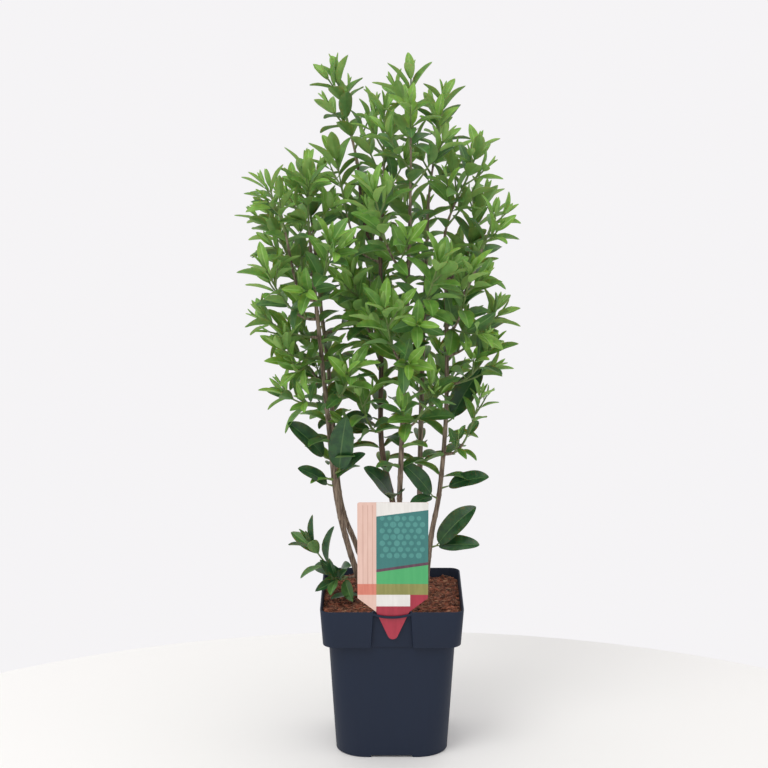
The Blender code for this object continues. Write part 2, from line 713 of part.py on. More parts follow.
def plan_masses(limbs):
    """Every mass with its stem laid out, before any leaf is placed."""
    masses = []
    rows = dict(MASSES)
    rows.update(BACK_TOPS)
    for name, (limb, height, tip, leaf, twigs) in rows.items():
        tip = Vector(tip)
        start, outward = limbs[limb].leave(height, tip, TWIG_FOOT_RADIUS)
        route = bow(start, outward, tip, STEM_STEP)
        masses.append(Mass(name, route, outward, leaf, twigs, "%s %d" % (name, SEED)))
    for name, (limb, height, offset, leaf, twigs) in spiral_masses().items():
        centre, _, _ = limbs[limb].at_height(height)
        tip = centre + offset
        start, outward = limbs[limb].leave(height, tip, TWIG_FOOT_RADIUS)
        route = bow(start, outward, tip, STEM_STEP)
        masses.append(Mass(name, route, outward, leaf, twigs, "%s %d" % (name, SEED)))
    return masses


def plan_old_leaves(limbs):
    """Short buds low on the canes, each with one or two big old leaves."""
    plans = []
    for name, (limb, height, tips) in OLD_LEAVES.items():
        tips = [Vector(t) for t in tips]
        middle = sum(tips, Vector()) / len(tips)
        start, outward = limbs[limb].leave(height, middle, TWIG_FOOT_RADIUS)
        end = start + (outward + Vector((0.0, 0.0, BUD_RISE))).normalized() * BUD_LENGTH
        route = [start, start.lerp(end, 0.5), end]
        plans.append((Mass(name, route, outward, 0.0, 0, name), tips))
    return plans


def grow_old_leaves(mass, tips, space):
    """Old leaves aimed at their tips."""
    bud = mass.axes[0]
    for tip in tips:
        foot = bud[-1].lerp(bud[-2], BUD_SINK)
        way = tip - foot
        add_leaf(mass, space, (0, 0), foot, way.normalized(), Vector(OLD_LEAF_UP), way.length,
                 OLD_WIDTH_SHARE)


def build_foliage(limbs):
    """All masses: stems first, then side twigs, then leaves in turn, so that each gets its share."""
    space = Space()
    for obj in bpy.data.objects:
        verts = [v.co.copy() for v in obj.data.vertices]
        space.add(obj.name, verts, [tuple(p.vertices) for p in obj.data.polygons])
    masses = plan_masses(limbs)
    old = plan_old_leaves(limbs)
    for mass in masses + [plan[0] for plan in old]:
        if not space.is_free(mass.name, *mass.stem):
            raise ValueError("the stem of %s touches something" % mass.name)
        space.add(mass.name, *mass.stem)
    for mass, tips in old:
        grow_old_leaves(mass, tips, space)
    for mass in masses:
        grow_side_twigs(mass, space)
    for row in zip_longest(*[leaf_sites(mass) for mass in masses]):
        for mass, site in zip(masses, row):
            if site:
                grow_leaf(mass, space, site)
    for mass in masses + [plan[0] for plan in old]:
        colour = OLD_LEAF if mass.name.startswith("old") else YOUNG_LEAF
        union_into(add_object(mass.name, *mass.stem, colour), mass.pieces)


def main():
    clear_scene()
    build_pot()
    build_soil()
    build_label()
    limbs = build_canes()
    build_boughs(limbs)
    build_foliage(limbs)


main()
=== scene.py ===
# %% [markdown]
# # A young privet in its nursery pot
# The plant is six canes in one square pot. Each cane carries leafy shoots all the way up, low down
# there are some old dark leaves, and a printed plant label is pushed behind a strap of the pot.
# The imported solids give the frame: this lesson grows bark, twigs, leaves, compost, pot and label
# round them, at the same places, and then lights them like the photograph.

# %% Load the frame
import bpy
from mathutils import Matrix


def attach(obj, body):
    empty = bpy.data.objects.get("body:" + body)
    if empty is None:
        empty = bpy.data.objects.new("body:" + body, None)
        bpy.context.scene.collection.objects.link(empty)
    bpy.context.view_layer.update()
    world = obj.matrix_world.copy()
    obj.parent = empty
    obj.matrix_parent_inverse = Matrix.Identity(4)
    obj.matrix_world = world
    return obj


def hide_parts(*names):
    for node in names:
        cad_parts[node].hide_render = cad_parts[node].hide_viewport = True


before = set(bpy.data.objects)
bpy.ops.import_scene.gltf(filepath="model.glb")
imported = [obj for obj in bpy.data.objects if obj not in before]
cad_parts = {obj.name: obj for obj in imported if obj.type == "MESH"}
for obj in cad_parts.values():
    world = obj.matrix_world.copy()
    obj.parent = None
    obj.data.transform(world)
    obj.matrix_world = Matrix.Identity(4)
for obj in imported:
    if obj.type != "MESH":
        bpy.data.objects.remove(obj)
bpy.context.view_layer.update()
print("nodes", len(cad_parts))

# %% Modules
import math
from random import Random

import bpy
import numpy as np
from mathutils import Matrix, Vector, noise

UP = Vector((0.0, 0.0, 1.0))
print("Blender", bpy.app.version_string)

# %% [markdown]
# ## The camera
# The photograph looks down at the plant by about 13 degrees, from a little over two metres away,
# through a long lens, so the pot's sides hardly converge. The pot's rim and foot, at the usual sizes
# for a pot of this kind, fixed the distance, height, tilt and focal length.

# %% Camera
CAMERA_PLACE = (-0.0083, -2.1324, 0.8874)
CAMERA_DROP = 13.06
FOCAL_LENGTH = 98.06
SENSOR = 36.0

camera_data = bpy.data.cameras.new("camera")
camera_data.lens = FOCAL_LENGTH
camera_data.sensor_width = SENSOR
camera = bpy.data.objects.new("camera", camera_data)
camera.location = CAMERA_PLACE
camera.rotation_euler = (math.radians(90.0 - CAMERA_DROP), 0.0, 0.0)
bpy.context.scene.collection.objects.link(camera)
bpy.context.scene.camera = camera
print("camera", FOCAL_LENGTH, "mm lens, looking down by", CAMERA_DROP, "degrees")

# %% [markdown]
# ## Studio
# The plant stands on a pale round table before a white wall, in light from all sides. A bright
# world does most of the work, because leaves in such light have soft shadows only, and a large
# lamp above the camera's left shoulder gives the tops of the leaves their sheen. The plain
# Standard view transform keeps the white wall white.

# %% Light and backdrop
WORLD_COLOUR = (0.915, 0.903, 0.918)
WORLD_STRENGTH = 1.0
KEY_PLACE = (-0.9, -1.3, 2.3)
KEY_TARGET = (0.0, 0.0, 0.35)
KEY_SIZE = 1.3
KEY_POWER = 20.0
scene = bpy.context.scene
scene.view_settings.view_transform = "Standard"
world = bpy.data.worlds.new("studio")
world.use_nodes = True
world.node_tree.nodes["Background"].inputs["Color"].default_value = (*WORLD_COLOUR, 1.0)
world.node_tree.nodes["Background"].inputs["Strength"].default_value = WORLD_STRENGTH
scene.world = world

key_data = bpy.data.lights.new("key", "AREA")
key_data.shape = "DISK"
key_data.size = KEY_SIZE
key_data.energy = KEY_POWER
key = bpy.data.objects.new("key", key_data)
key.location = KEY_PLACE
key.rotation_euler = (Vector(KEY_TARGET) - Vector(KEY_PLACE)).to_track_quat("-Z", "Y").to_euler()
scene.collection.objects.link(key)
print("world strength", WORLD_STRENGTH, "and a key lamp of", KEY_POWER, "watts")

# %% Table
TABLE_RADIUS = 0.8165
TABLE_CENTRE = (0.0035, -0.483)
TABLE_THICKNESS = 0.03
TABLE_DROP = 0.0002
TABLE_STEPS = 96
TABLE_COLOUR = (0.90, 0.89, 0.865)
TABLE_ROUGHNESS = 0.6


def plain_material(name, colour, roughness):
    """A Principled material with no pattern, for the table."""
    material = bpy.data.materials.new(name)
    material.use_nodes = True
    shader = material.node_tree.nodes["Principled BSDF"]
    shader.inputs["Base Color"].default_value = (*colour, 1.0)
    shader.inputs["Roughness"].default_value = roughness
    return material


def round_table():
    """The pale table top, whose upper face is the plane the pot stands on."""
    steps = TABLE_STEPS
    points = []
    for z in (-TABLE_THICKNESS, -TABLE_DROP):
        for step in range(steps):
            angle = 2.0 * math.pi * step / steps
            points.append((TABLE_CENTRE[0] + TABLE_RADIUS * math.cos(angle),
                           TABLE_CENTRE[1] + TABLE_RADIUS * math.sin(angle), z))
    faces = [(i, (i + 1) % steps, steps + (i + 1) % steps, steps + i) for i in range(steps)]
    faces += [tuple(range(steps - 1, -1, -1)), tuple(range(steps, 2 * steps))]
    mesh = bpy.data.meshes.new("table")
    mesh.from_pydata(points, [], faces)
    mesh.materials.append(plain_material("table_white", TABLE_COLOUR, TABLE_ROUGHNESS))
    table = bpy.data.objects.new("table", mesh)
    scene.collection.objects.link(table)
    return table


round_table()
print("table of radius", TABLE_RADIUS)

# %% [markdown]
# ## Node groups that several materials share
# Nothing on a plant is one even colour, so most materials here mix a darker and a lighter tone by
# a soft noise. That noise is the group *mottle*. Bark and moulded plastic have a grain that runs
# one way, and the group *streak* makes it by stretching the noise along Z. Both only put out masks
# that change over the surface. The Principled shader stays in each material.

# %% Mottle and streak groups
def new_group(name, inputs, outputs):
    """An empty node group with named inputs (name, default) and outputs."""
    group = bpy.data.node_groups.new(name, "ShaderNodeTree")
    for label, value in inputs:
        socket = group.interface.new_socket(name=label, in_out="INPUT", socket_type="NodeSocketFloat")
        socket.default_value = value
    for label in outputs:
        group.interface.new_socket(name=label, in_out="OUTPUT", socket_type="NodeSocketFloat")
    return group, group.nodes.new("NodeGroupInput"), group.nodes.new("NodeGroupOutput")


def noise_group(name, stretch):
    """Noise in the object's own space, squeezed by stretch along Z, as a mask from 0 to 1."""
    inputs = [("Scale", 60.0), ("Detail", 3.0), ("Low", 0.35), ("High", 0.65)]
    group, given, wanted = new_group(name, inputs, ["Mask"])
    nodes, links = group.nodes, group.links
    place = nodes.new("ShaderNodeTexCoord")
    squeeze = nodes.new("ShaderNodeMapping")
    squeeze.inputs["Scale"].default_value = (1.0, 1.0, stretch)
    pattern = nodes.new("ShaderNodeTexNoise")
    spread = nodes.new("ShaderNodeMapRange")
    spread.interpolation_type = "SMOOTHSTEP"
    links.new(place.outputs["Object"], squeeze.inputs["Vector"])
    links.new(squeeze.outputs["Vector"], pattern.inputs["Vector"])
    links.new(given.outputs["Scale"], pattern.inputs["Scale"])
    links.new(given.outputs["Detail"], pattern.inputs["Detail"])
    links.new(pattern.outputs["Fac"], spread.inputs["Value"])
    links.new(given.outputs["Low"], spread.inputs["From Min"])
    links.new(given.outputs["High"], spread.inputs["From Max"])
    links.new(spread.outputs["Result"], wanted.inputs["Mask"])
    return group


MOTTLE = noise_group("mottle", 1.0)
STREAK = noise_group("streak", 0.12)
print("groups", MOTTLE.name, STREAK.name)

# %% [markdown]
# ## One recipe for every natural finish
# A finish is two tones, the mask that mixes them, a range of roughness on the same mask and a
# small bump from a finer mask. The recipe below wires that up once. What differs is only the
# numbers, which are given where each material is made.

# %% Finish recipe
def place_mask(material, group, scale, detail, low, high):
    """Put a noise group in a material with its own values and return its mask."""
    node = material.node_tree.nodes.new("ShaderNodeGroup")
    node.node_tree = group
    for label, value in (("Scale", scale), ("Detail", detail), ("Low", low), ("High", high)):
        node.inputs[label].default_value = value
    return node.outputs["Mask"]


def mix_by(material, mask, first, second):
    """Two colours mixed by a mask."""
    node = material.node_tree.nodes.new("ShaderNodeMix")
    node.data_type = "RGBA"
    node.inputs["A"].default_value = (*first, 1.0)
    node.inputs["B"].default_value = (*second, 1.0)
    material.node_tree.links.new(mask, node.inputs["Factor"])
    return node.outputs["Result"]


def range_by(material, mask, low, high):
    """A number that goes from low to high with a mask."""
    node = material.node_tree.nodes.new("ShaderNodeMapRange")
    node.inputs["To Min"].default_value = low
    node.inputs["To Max"].default_value = high
    material.node_tree.links.new(mask, node.inputs["Value"])
    return node.outputs["Result"]


def bump_by(material, mask, strength, depth):
    """A bump normal whose height is a mask."""
    node = material.node_tree.nodes.new("ShaderNodeBump")
    node.inputs["Strength"].default_value = strength
    node.inputs["Distance"].default_value = depth
    material.node_tree.links.new(mask, node.inputs["Height"])
    return node.outputs["Normal"]


def finish(name, tones, tone_mask, roughness, bump_mask, bump, **constants):
    """A Principled material from two tones, a roughness range and a bump.

    tone_mask and bump_mask are (group, scale, detail, low, high); bump is (strength, depth).
    constants are numbers set on the shader's own sockets.
    """
    material = bpy.data.materials.new(name)
    material.use_nodes = True
    shader = material.node_tree.nodes["Principled BSDF"]
    links = material.node_tree.links
    tone = place_mask(material, *tone_mask)
    links.new(mix_by(material, tone, *tones), shader.inputs["Base Color"])
    links.new(range_by(material, tone, *roughness), shader.inputs["Roughness"])
    links.new(bump_by(material, place_mask(material, *bump_mask), *bump), shader.inputs["Normal"])
    for label, value in constants.items():
        shader.inputs[label.replace("_", " ")].default_value = value
    material.diffuse_color = (*tones[0], 1.0)
    return material


print("finish recipe ready")

# %% [markdown]
# ## Making a piece
# Every piece ends up the same way: points and faces become a mesh, the mesh gets its materials, and
# the object rides on the plant's one body, with the solids it stands for hidden. One helper does that,
# so no step is forgotten.

# %% Piece helper
SMOOTH_ANGLE = 40.0


def make_piece(name, points, faces, materials, slot, stands_for=(), face_materials=None):
    """A finished piece of the plant."""
    mesh = bpy.data.meshes.new(name)
    mesh.from_pydata([tuple(p) for p in points], [], faces)
    for material in materials:
        mesh.materials.append(material)
    if face_materials is not None:
        mesh.polygons.foreach_set("material_index", face_materials)
    mesh.shade_smooth()
    mesh.set_sharp_from_angle(angle=math.radians(SMOOTH_ANGLE))
    piece = bpy.data.objects.new(name, mesh)
    scene.collection.objects.link(piece)
    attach(piece, "root")
    if stands_for:
        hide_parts(*stands_for)
    triangles = sum(len(face) - 2 for face in faces)
    print("%-22s %7d triangles" % (name, triangles))
    return piece


class Heap:
    """Many small meshes gathered into one list of points and faces."""

    def __init__(self):
        self.points = []
        self.faces = []
        self.marks = []
        self.count = 0

    def add(self, points, faces, marks=None):
        """Add a mesh; marks are its faces' material numbers."""
        self.points.extend(points)
        self.faces.extend([tuple(i + self.count for i in face) for face in faces])
        self.marks.extend(marks if marks is not None else [0] * len(faces))
        self.count += len(points)


def blend(a, b, t):
    """The value a share t of the way from a to b."""
    return a + (b - a) * t


def loft(rings, close_start=True, close_end=True):
    """Points and faces over rings of points with the same count."""
    count = len(rings[0])
    points = [point for ring in rings for point in ring]
    faces = []
    for r in range(len(rings) - 1):
        for i in range(count):
            j = (i + 1) % count
            faces.append((r * count + i, r * count + j, (r + 1) * count + j, (r + 1) * count + i))
    if close_start:
        faces.append(tuple(reversed(range(count))))
    if close_end:
        faces.append(tuple(range((len(rings) - 1) * count, len(rings) * count)))
    return points, faces


# %% [markdown]
# ## The pot
# A thin-walled square pot, moulded in dark blue-black plastic. Its wall is one skin that goes up the
# outside, over the rim and down the inside, so it is lofted from rounded squares. The photograph
# shows the deep collar, the recess in its middle, the strap that droops across the recess, and the
# shallow arches under the foot. Small extra rings round the rim and the collar's lower edge.

# %% Pot sizes
POT_HEIGHT = 0.167
POT_TOP_WIDTH = 0.150
POT_FOOT_WIDTH = 0.119
POT_WALL = 0.0016
POT_FLOOR = 0.0022
COLLAR_DEPTH = 0.040
COLLAR_FOOT = POT_HEIGHT - COLLAR_DEPTH
COLLAR_FOOT_WIDTH = 0.1448
BODY_TOP_WIDTH = 0.1327
RIM_CORNER_RADIUS = 0.011
COLLAR_CORNER_RADIUS = 0.014
BODY_CORNER_RADIUS = 0.018
FOOT_CORNER_RADIUS = 0.033
LEAST_CORNER_RADIUS = 0.004
BODY_BEND_HEIGHT = 0.35
BODY_BEND_RADIUS = 0.45
RECESS_DEPTH = 0.004
RECESS_TOP_HALF = 0.0190
RECESS_FOOT_HALF = 0.0215
RECESS_SIDE_SLANT = 0.0007
STRAP_HEIGHT = 0.0026
STRAP_DIP = 0.0040
STRAP_DROP = 0.0004
STRAP_SETBACK = 0.0005
ARCH_HEIGHT = 0.0020
ARCH_INSET = 0.010
FOOT_BAND = 0.003
EDGE = 0.0005
SOFT_INSET = 0.3
LIP_INSET = 0.6
CORNER_STEPS = 14
print("pot", POT_TOP_WIDTH, "m wide and", POT_HEIGHT, "m high")

# %% Rings of the pot
def square_ring(width, radius, z, recess=0.0, shrink=0.0, arch=0.0, arch_inset=0.0):
    """A rounded square with two steps on each side, for the recess and the drainage arch."""
    half = width / 2.0 - shrink
    radius = max(radius - shrink, LEAST_CORNER_RADIUS)
    collar_share = min(max((z - COLLAR_FOOT) / COLLAR_DEPTH, 0.0), 1.0)
    inner = blend(RECESS_FOOT_HALF, RECESS_TOP_HALF, collar_share) + shrink
    outer = inner + RECESS_SIDE_SLANT
    points = []
    for side in range(4):
        turn = Matrix.Rotation(math.radians(90.0 * side), 3, "Z")
        inset = arch_inset + (recess if side % 2 == 0 else 0.0)
        row = [(-outer, -half, z), (-inner, -half + inset, z + arch),
               (inner, -half + inset, z + arch), (outer, -half, z)]
        for step in range(CORNER_STEPS + 1):
            angle = math.radians(-90.0 + 90.0 * step / CORNER_STEPS)
            row.append((half - radius + radius * math.cos(angle),
                        -half + radius + radius * math.sin(angle), z))
        points += [turn @ Vector(p) for p in row]
    return points


def collar_ring(share, inset=0.0, drop=0.0, shrink=0.0):
    """A ring of the collar, a share of the way up it."""
    return square_ring(blend(COLLAR_FOOT_WIDTH, POT_TOP_WIDTH, share) - 2.0 * inset,
                       blend(COLLAR_CORNER_RADIUS, RIM_CORNER_RADIUS, share) - inset,
                       blend(COLLAR_FOOT, POT_HEIGHT, share) - drop, recess=RECESS_DEPTH, shrink=shrink)


print("a ring has", len(collar_ring(0.0)), "points")

# %% Build the pot
def pot_skin():
    """The pot's wall as one closed skin."""
    bend_width = blend(POT_FOOT_WIDTH, BODY_TOP_WIDTH, BODY_BEND_HEIGHT)
    bend_radius = blend(FOOT_CORNER_RADIUS, BODY_CORNER_RADIUS, BODY_BEND_RADIUS)
    ledge = COLLAR_FOOT + POT_WALL
    rings = [
        square_ring(POT_FOOT_WIDTH - 2 * FOOT_BAND, FOOT_CORNER_RADIUS - FOOT_BAND, 0.0,
                    arch_inset=ARCH_INSET),
        square_ring(POT_FOOT_WIDTH - 2 * EDGE, FOOT_CORNER_RADIUS, 0.0, arch=ARCH_HEIGHT),
        square_ring(POT_FOOT_WIDTH, FOOT_CORNER_RADIUS, EDGE, arch=ARCH_HEIGHT),
        square_ring(bend_width, bend_radius, COLLAR_FOOT * BODY_BEND_HEIGHT),
        square_ring(BODY_TOP_WIDTH, BODY_CORNER_RADIUS, COLLAR_FOOT),
        collar_ring(0.0, inset=EDGE),
        collar_ring(0.0, inset=EDGE * SOFT_INSET, drop=-EDGE * SOFT_INSET),
        collar_ring(0.0, drop=-EDGE),
        collar_ring(1.0, drop=EDGE),
        collar_ring(1.0, inset=EDGE * SOFT_INSET, drop=EDGE * SOFT_INSET),
        collar_ring(1.0, inset=EDGE),
        collar_ring(1.0, shrink=POT_WALL - EDGE * LIP_INSET),
        collar_ring(1.0, drop=EDGE, shrink=POT_WALL),
        square_ring(COLLAR_FOOT_WIDTH, COLLAR_CORNER_RADIUS, ledge, recess=RECESS_DEPTH, shrink=POT_WALL),
        square_ring(BODY_TOP_WIDTH, BODY_CORNER_RADIUS, ledge, shrink=POT_WALL),
        square_ring(POT_FOOT_WIDTH, FOOT_CORNER_RADIUS, ARCH_HEIGHT + POT_FLOOR, shrink=POT_WALL),
    ]
    return loft(rings)


STRAP_STEPS = 18
STRAP_OVERLAP = 1.5
STRAP_SOFT = EDGE * 0.8


def strap(front):
    """The drooping bar across a recess, with softened edges; front is -1 or +1 in Y."""
    outer_y = POT_TOP_WIDTH / 2.0 - STRAP_SETBACK
    inner_y = -outer_y + POT_WALL
    soft = STRAP_SOFT
    half_span = RECESS_TOP_HALF + RECESS_SIDE_SLANT + POT_WALL * STRAP_OVERLAP
    rings = []
    for step in range(STRAP_STEPS + 1):
        share = -1.0 + 2.0 * step / STRAP_STEPS
        top = POT_HEIGHT - STRAP_DROP - STRAP_DIP * (1.0 - share * share)
        low = top - STRAP_HEIGHT
        outline = [(-outer_y, top - soft), (-outer_y + soft, top), (inner_y - soft, top),
                   (inner_y, top - soft), (inner_y, low + soft),
                   (inner_y - soft, low), (-outer_y + soft, low), (-outer_y, low + soft)]
        rings.append([Vector((-front * half_span * share, -front * y, z)) for y, z in outline])
    return loft(rings)


pot_plastic = finish(
    "pot_plastic", ((0.0115, 0.0185, 0.0380), (0.0130, 0.0205, 0.0410)),
    (STREAK, 160.0, 4.0, 0.30, 0.75), (0.52, 0.62),
    (STREAK, 700.0, 3.0, 0.20, 0.80), (0.08, 0.0003), Specular_IOR_Level=0.22)
pot_heap = Heap()
pot_heap.add(*pot_skin())
pot_heap.add(*strap(-1.0))
pot_heap.add(*strap(1.0))
make_piece("nursery_pot", pot_heap.points, pot_heap.faces, [pot_plastic], "pot_plastic", ["pot"])

# %% [markdown]
# ## The compost
# Coarse coir and bark, heaped a little towards the back left. Real compost is crumbs on crumbs, so
# it takes three layers: a rough closed cushion that follows the inside of the pot, chips that are
# half sunk in it, and thin fibres that cross over them. The chips are dealt out to three browns.

# %% Compost cushion
SOIL_TOP = 0.157
SOIL_FLOOR = 0.130
SOIL_CELLS = 96
SOIL_MARGIN = 0.0004
SOIL_TAPER = 0.93
HEAP_SPAN = 0.314
HEAP_ROLL = 0.6
# Height of each layer of roughness and how finely its noise is spaced
HEAP_HEIGHT, HEAP_SCALE = 0.0042, 14.0
CRUMB_HEIGHT, CRUMB_SCALE = 0.0030, 150.0
GRAIN_HEIGHT, GRAIN_SCALE = 0.0012, 480.0


def pot_inside(x, y, margin):
    """Move a point inside the pot's inner wall at the height of the compost."""
    share = (SOIL_TOP - COLLAR_FOOT) / COLLAR_DEPTH
    half = blend(COLLAR_FOOT_WIDTH, POT_TOP_WIDTH, share) / 2.0 - POT_WALL - margin
    radius = blend(COLLAR_CORNER_RADIUS, RIM_CORNER_RADIUS, share) - POT_WALL
    x = min(max(x, -half), half)
    recessed = RECESS_FOOT_HALF + POT_WALL * 2.0
    reach = half - RECESS_DEPTH if abs(x) < recessed else half
    y = min(max(y, -reach), reach)
    over = Vector((max(abs(x) - half + radius, 0.0), max(abs(y) - half + radius, 0.0)))
    if over.x > 0.0 and over.y > 0.0 and over.length > radius:
        over = over.normalized() * radius
        x = math.copysign(half - radius + over.x, x)
        y = math.copysign(half - radius + over.y, y)
    return x, y


def soil_height(x, y):
    """Height of the compost: a low heap, crumbs and grain."""
    heap = noise.noise(Vector((x * HEAP_SCALE + 3.1, y * HEAP_SCALE - 1.7, 0.4)))
    corner = max(0.0, (y - x) / HEAP_SPAN)
    crumbs = noise.noise(Vector((x * CRUMB_SCALE, y * CRUMB_SCALE, 5.0)))
    grain = noise.noise(Vector((x * GRAIN_SCALE, y * GRAIN_SCALE, 9.0)))
    rough = CRUMB_HEIGHT * crumbs
    return SOIL_TOP + HEAP_HEIGHT * (HEAP_ROLL * heap + corner) + rough + GRAIN_HEIGHT * grain


def soil_cushion():
    """The compost as one closed body with a rough top."""
    cells = SOIL_CELLS
    half = POT_TOP_WIDTH / 2.0
    points, faces = [], []
    for level in (0, 1):
        for row in range(cells + 1):
            for column in range(cells + 1):
                x, y = pot_inside(blend(-half, half, column / cells), blend(-half, half, row / cells),
                                  SOIL_MARGIN)
                if level == 0:
                    points.append((x, y, soil_height(x, y)))
                else:
                    points.append((x * SOIL_TAPER, y * SOIL_TAPER, SOIL_FLOOR))
    below = (cells + 1) ** 2
    for row in range(cells):
        for column in range(cells):
            i = row * (cells + 1) + column
            quad = (i, i + 1, i + cells + 2, i + cells + 1)
            faces.append(quad)
            faces.append(tuple(below + k for k in reversed(quad)))
    rim = list(range(cells))
    rim += [r * (cells + 1) + cells for r in range(cells)]
    rim += [cells * (cells + 1) + c for c in range(cells, 0, -1)]
    rim += [r * (cells + 1) for r in range(cells, 0, -1)]
    for i, j in zip(rim, rim[1:] + rim[:1]):
        faces.append((j, i, below + i, below + j))
    return points, faces


print("compost at the middle", round(soil_height(0.0, 0.0), 4))

# %% Compost finishes
COIR_SHADES = {
    "coir_dark": ((0.055, 0.019, 0.011), (0.140, 0.050, 0.028)),
    "coir_red": ((0.260, 0.072, 0.038), (0.420, 0.140, 0.078)),
    "coir_pale": ((0.380, 0.170, 0.095), (0.520, 0.280, 0.170)),
}


def coir(name):
    """One of the compost's browns."""
    return finish(name, COIR_SHADES[name], (MOTTLE, 420.0, 4.0, 0.35, 0.65), (0.85, 1.0),
                  (MOTTLE, 1500.0, 4.0, 0.30, 0.70), (0.5, 0.0006))


coir_finishes = {shade: coir(shade) for shade in COIR_SHADES}
soil_base = finish("compost", ((0.075, 0.024, 0.013), (0.290, 0.095, 0.050)),
                   (MOTTLE, 230.0, 5.0, 0.38, 0.62), (0.85, 1.0),
                   (MOTTLE, 900.0, 5.0, 0.30, 0.70), (0.8, 0.0010))
make_piece("compost", *soil_cushion(), [soil_base], "compost", ["soil"])

# %% Coir chips
CHIP_COUNT = 1500
CHIP_SIZES = (0.0012, 0.0048)
CHIP_WIDTHS = (0.35, 0.8)
CHIP_HEIGHTS = (0.2, 0.45)
CHIP_TILT = 0.6
CHIP_ROUGHNESS = 0.16
CHIP_MARGIN = 0.7
CHIP_SHARES = ((0.40, "coir_dark"), (0.80, "coir_red"), (1.00, "coir_pale"))
SOIL_SEED = 5
soil_random = Random(SOIL_SEED)


def chip(place, size):
    """A splinter of bark or coir: a box whose corners are pushed about."""
    spin = Matrix.Rotation(soil_random.uniform(0.0, 2.0 * math.pi), 3, "Z")
    tilt = Matrix.Rotation(soil_random.uniform(-CHIP_TILT, CHIP_TILT), 3, "X")
    width = size * soil_random.uniform(*CHIP_WIDTHS)
    extent = Vector((size, width, size * soil_random.uniform(*CHIP_HEIGHTS)))
    corners = []
    for z in (-0.5, 0.5):
        for x, y in ((-0.5, -0.5), (0.5, -0.5), (0.5, 0.5), (-0.5, 0.5)):
            pushed = Vector([c + soil_random.uniform(-CHIP_ROUGHNESS, CHIP_ROUGHNESS) for c in (x, y, z)])
            corners.append(place + spin @ tilt @ Vector([p * e for p, e in zip(pushed, extent)]))
    faces = [(3, 2, 1, 0), (4, 5, 6, 7), (0, 1, 5, 4), (1, 2, 6, 5), (2, 3, 7, 6), (3, 0, 4, 7)]
    return corners, faces


def soil_spot(margin):
    """A random place on the compost."""
    half = POT_TOP_WIDTH / 2.0
    x, y = pot_inside(soil_random.uniform(-half, half), soil_random.uniform(-half, half), margin)
    return Vector((x, y, soil_height(x, y)))


chips = {shade: Heap() for shade in COIR_SHADES}
for number in range(CHIP_COUNT):
    size = blend(*CHIP_SIZES, soil_random.random() ** 2)
    shade = next(name for share, name in CHIP_SHARES if soil_random.random() <= share or share == 1.0)
    chips[shade].add(*chip(soil_spot(size * CHIP_MARGIN), size))
for shade, material in coir_finishes.items():
    make_piece("chips_" + shade, chips[shade].points, chips[shade].faces, [material], "compost")

# %% Coir fibres
FIBRE_COUNT = 360
FIBRE_SIZES = (0.006, 0.018)
FIBRE_RADIUS = 0.00016
FIBRE_STEPS = 5
FIBRE_BEND = 1.6
FIBRE_LIFT = (0.0003, 0.0012)
FIBRE_MARGIN = 0.001
FIBRE_CROWN = 1.6
FIBRE_START_MARGIN = 0.004


def fibre(place, length):
    """A thin curved fibre lying on the compost."""
    heading = soil_random.uniform(0.0, 2.0 * math.pi)
    curve = soil_random.uniform(-FIBRE_BEND, FIBRE_BEND)
    route = []
    for step in range(FIBRE_STEPS + 1):
        angle = heading + curve * step / FIBRE_STEPS
        place = place + Vector((math.cos(angle), math.sin(angle), 0.0)) * length / FIBRE_STEPS
        x, y = pot_inside(place.x, place.y, FIBRE_MARGIN)
        place = Vector((x, y, 0.0))
        route.append(Vector((x, y, soil_height(x, y) + soil_random.uniform(*FIBRE_LIFT))))
    rings = []
    for i, point in enumerate(route):
        ahead = route[min(i + 1, FIBRE_STEPS)] - route[max(i - 1, 0)]
        side = ahead.cross(UP).normalized() * FIBRE_RADIUS
        rings.append([point + side, point + UP * FIBRE_RADIUS * FIBRE_CROWN, point - side])
    return loft(rings)


fibres = Heap()
for number in range(FIBRE_COUNT):
    fibres.add(*fibre(soil_spot(FIBRE_START_MARGIN), soil_random.uniform(*FIBRE_SIZES)))
make_piece("coir_fibres", fibres.points, fibres.faces, [coir_finishes["coir_pale"]], "compost")

# %% [markdown]
# ## Routes of the limbs
# The canes, boughs and shoots run where the solids have them. The same named points give the same
# curves again here, only read off more finely, so bark and leaves sit on the frame without fitting.

# %% Limb tables
GAP = 0.0003
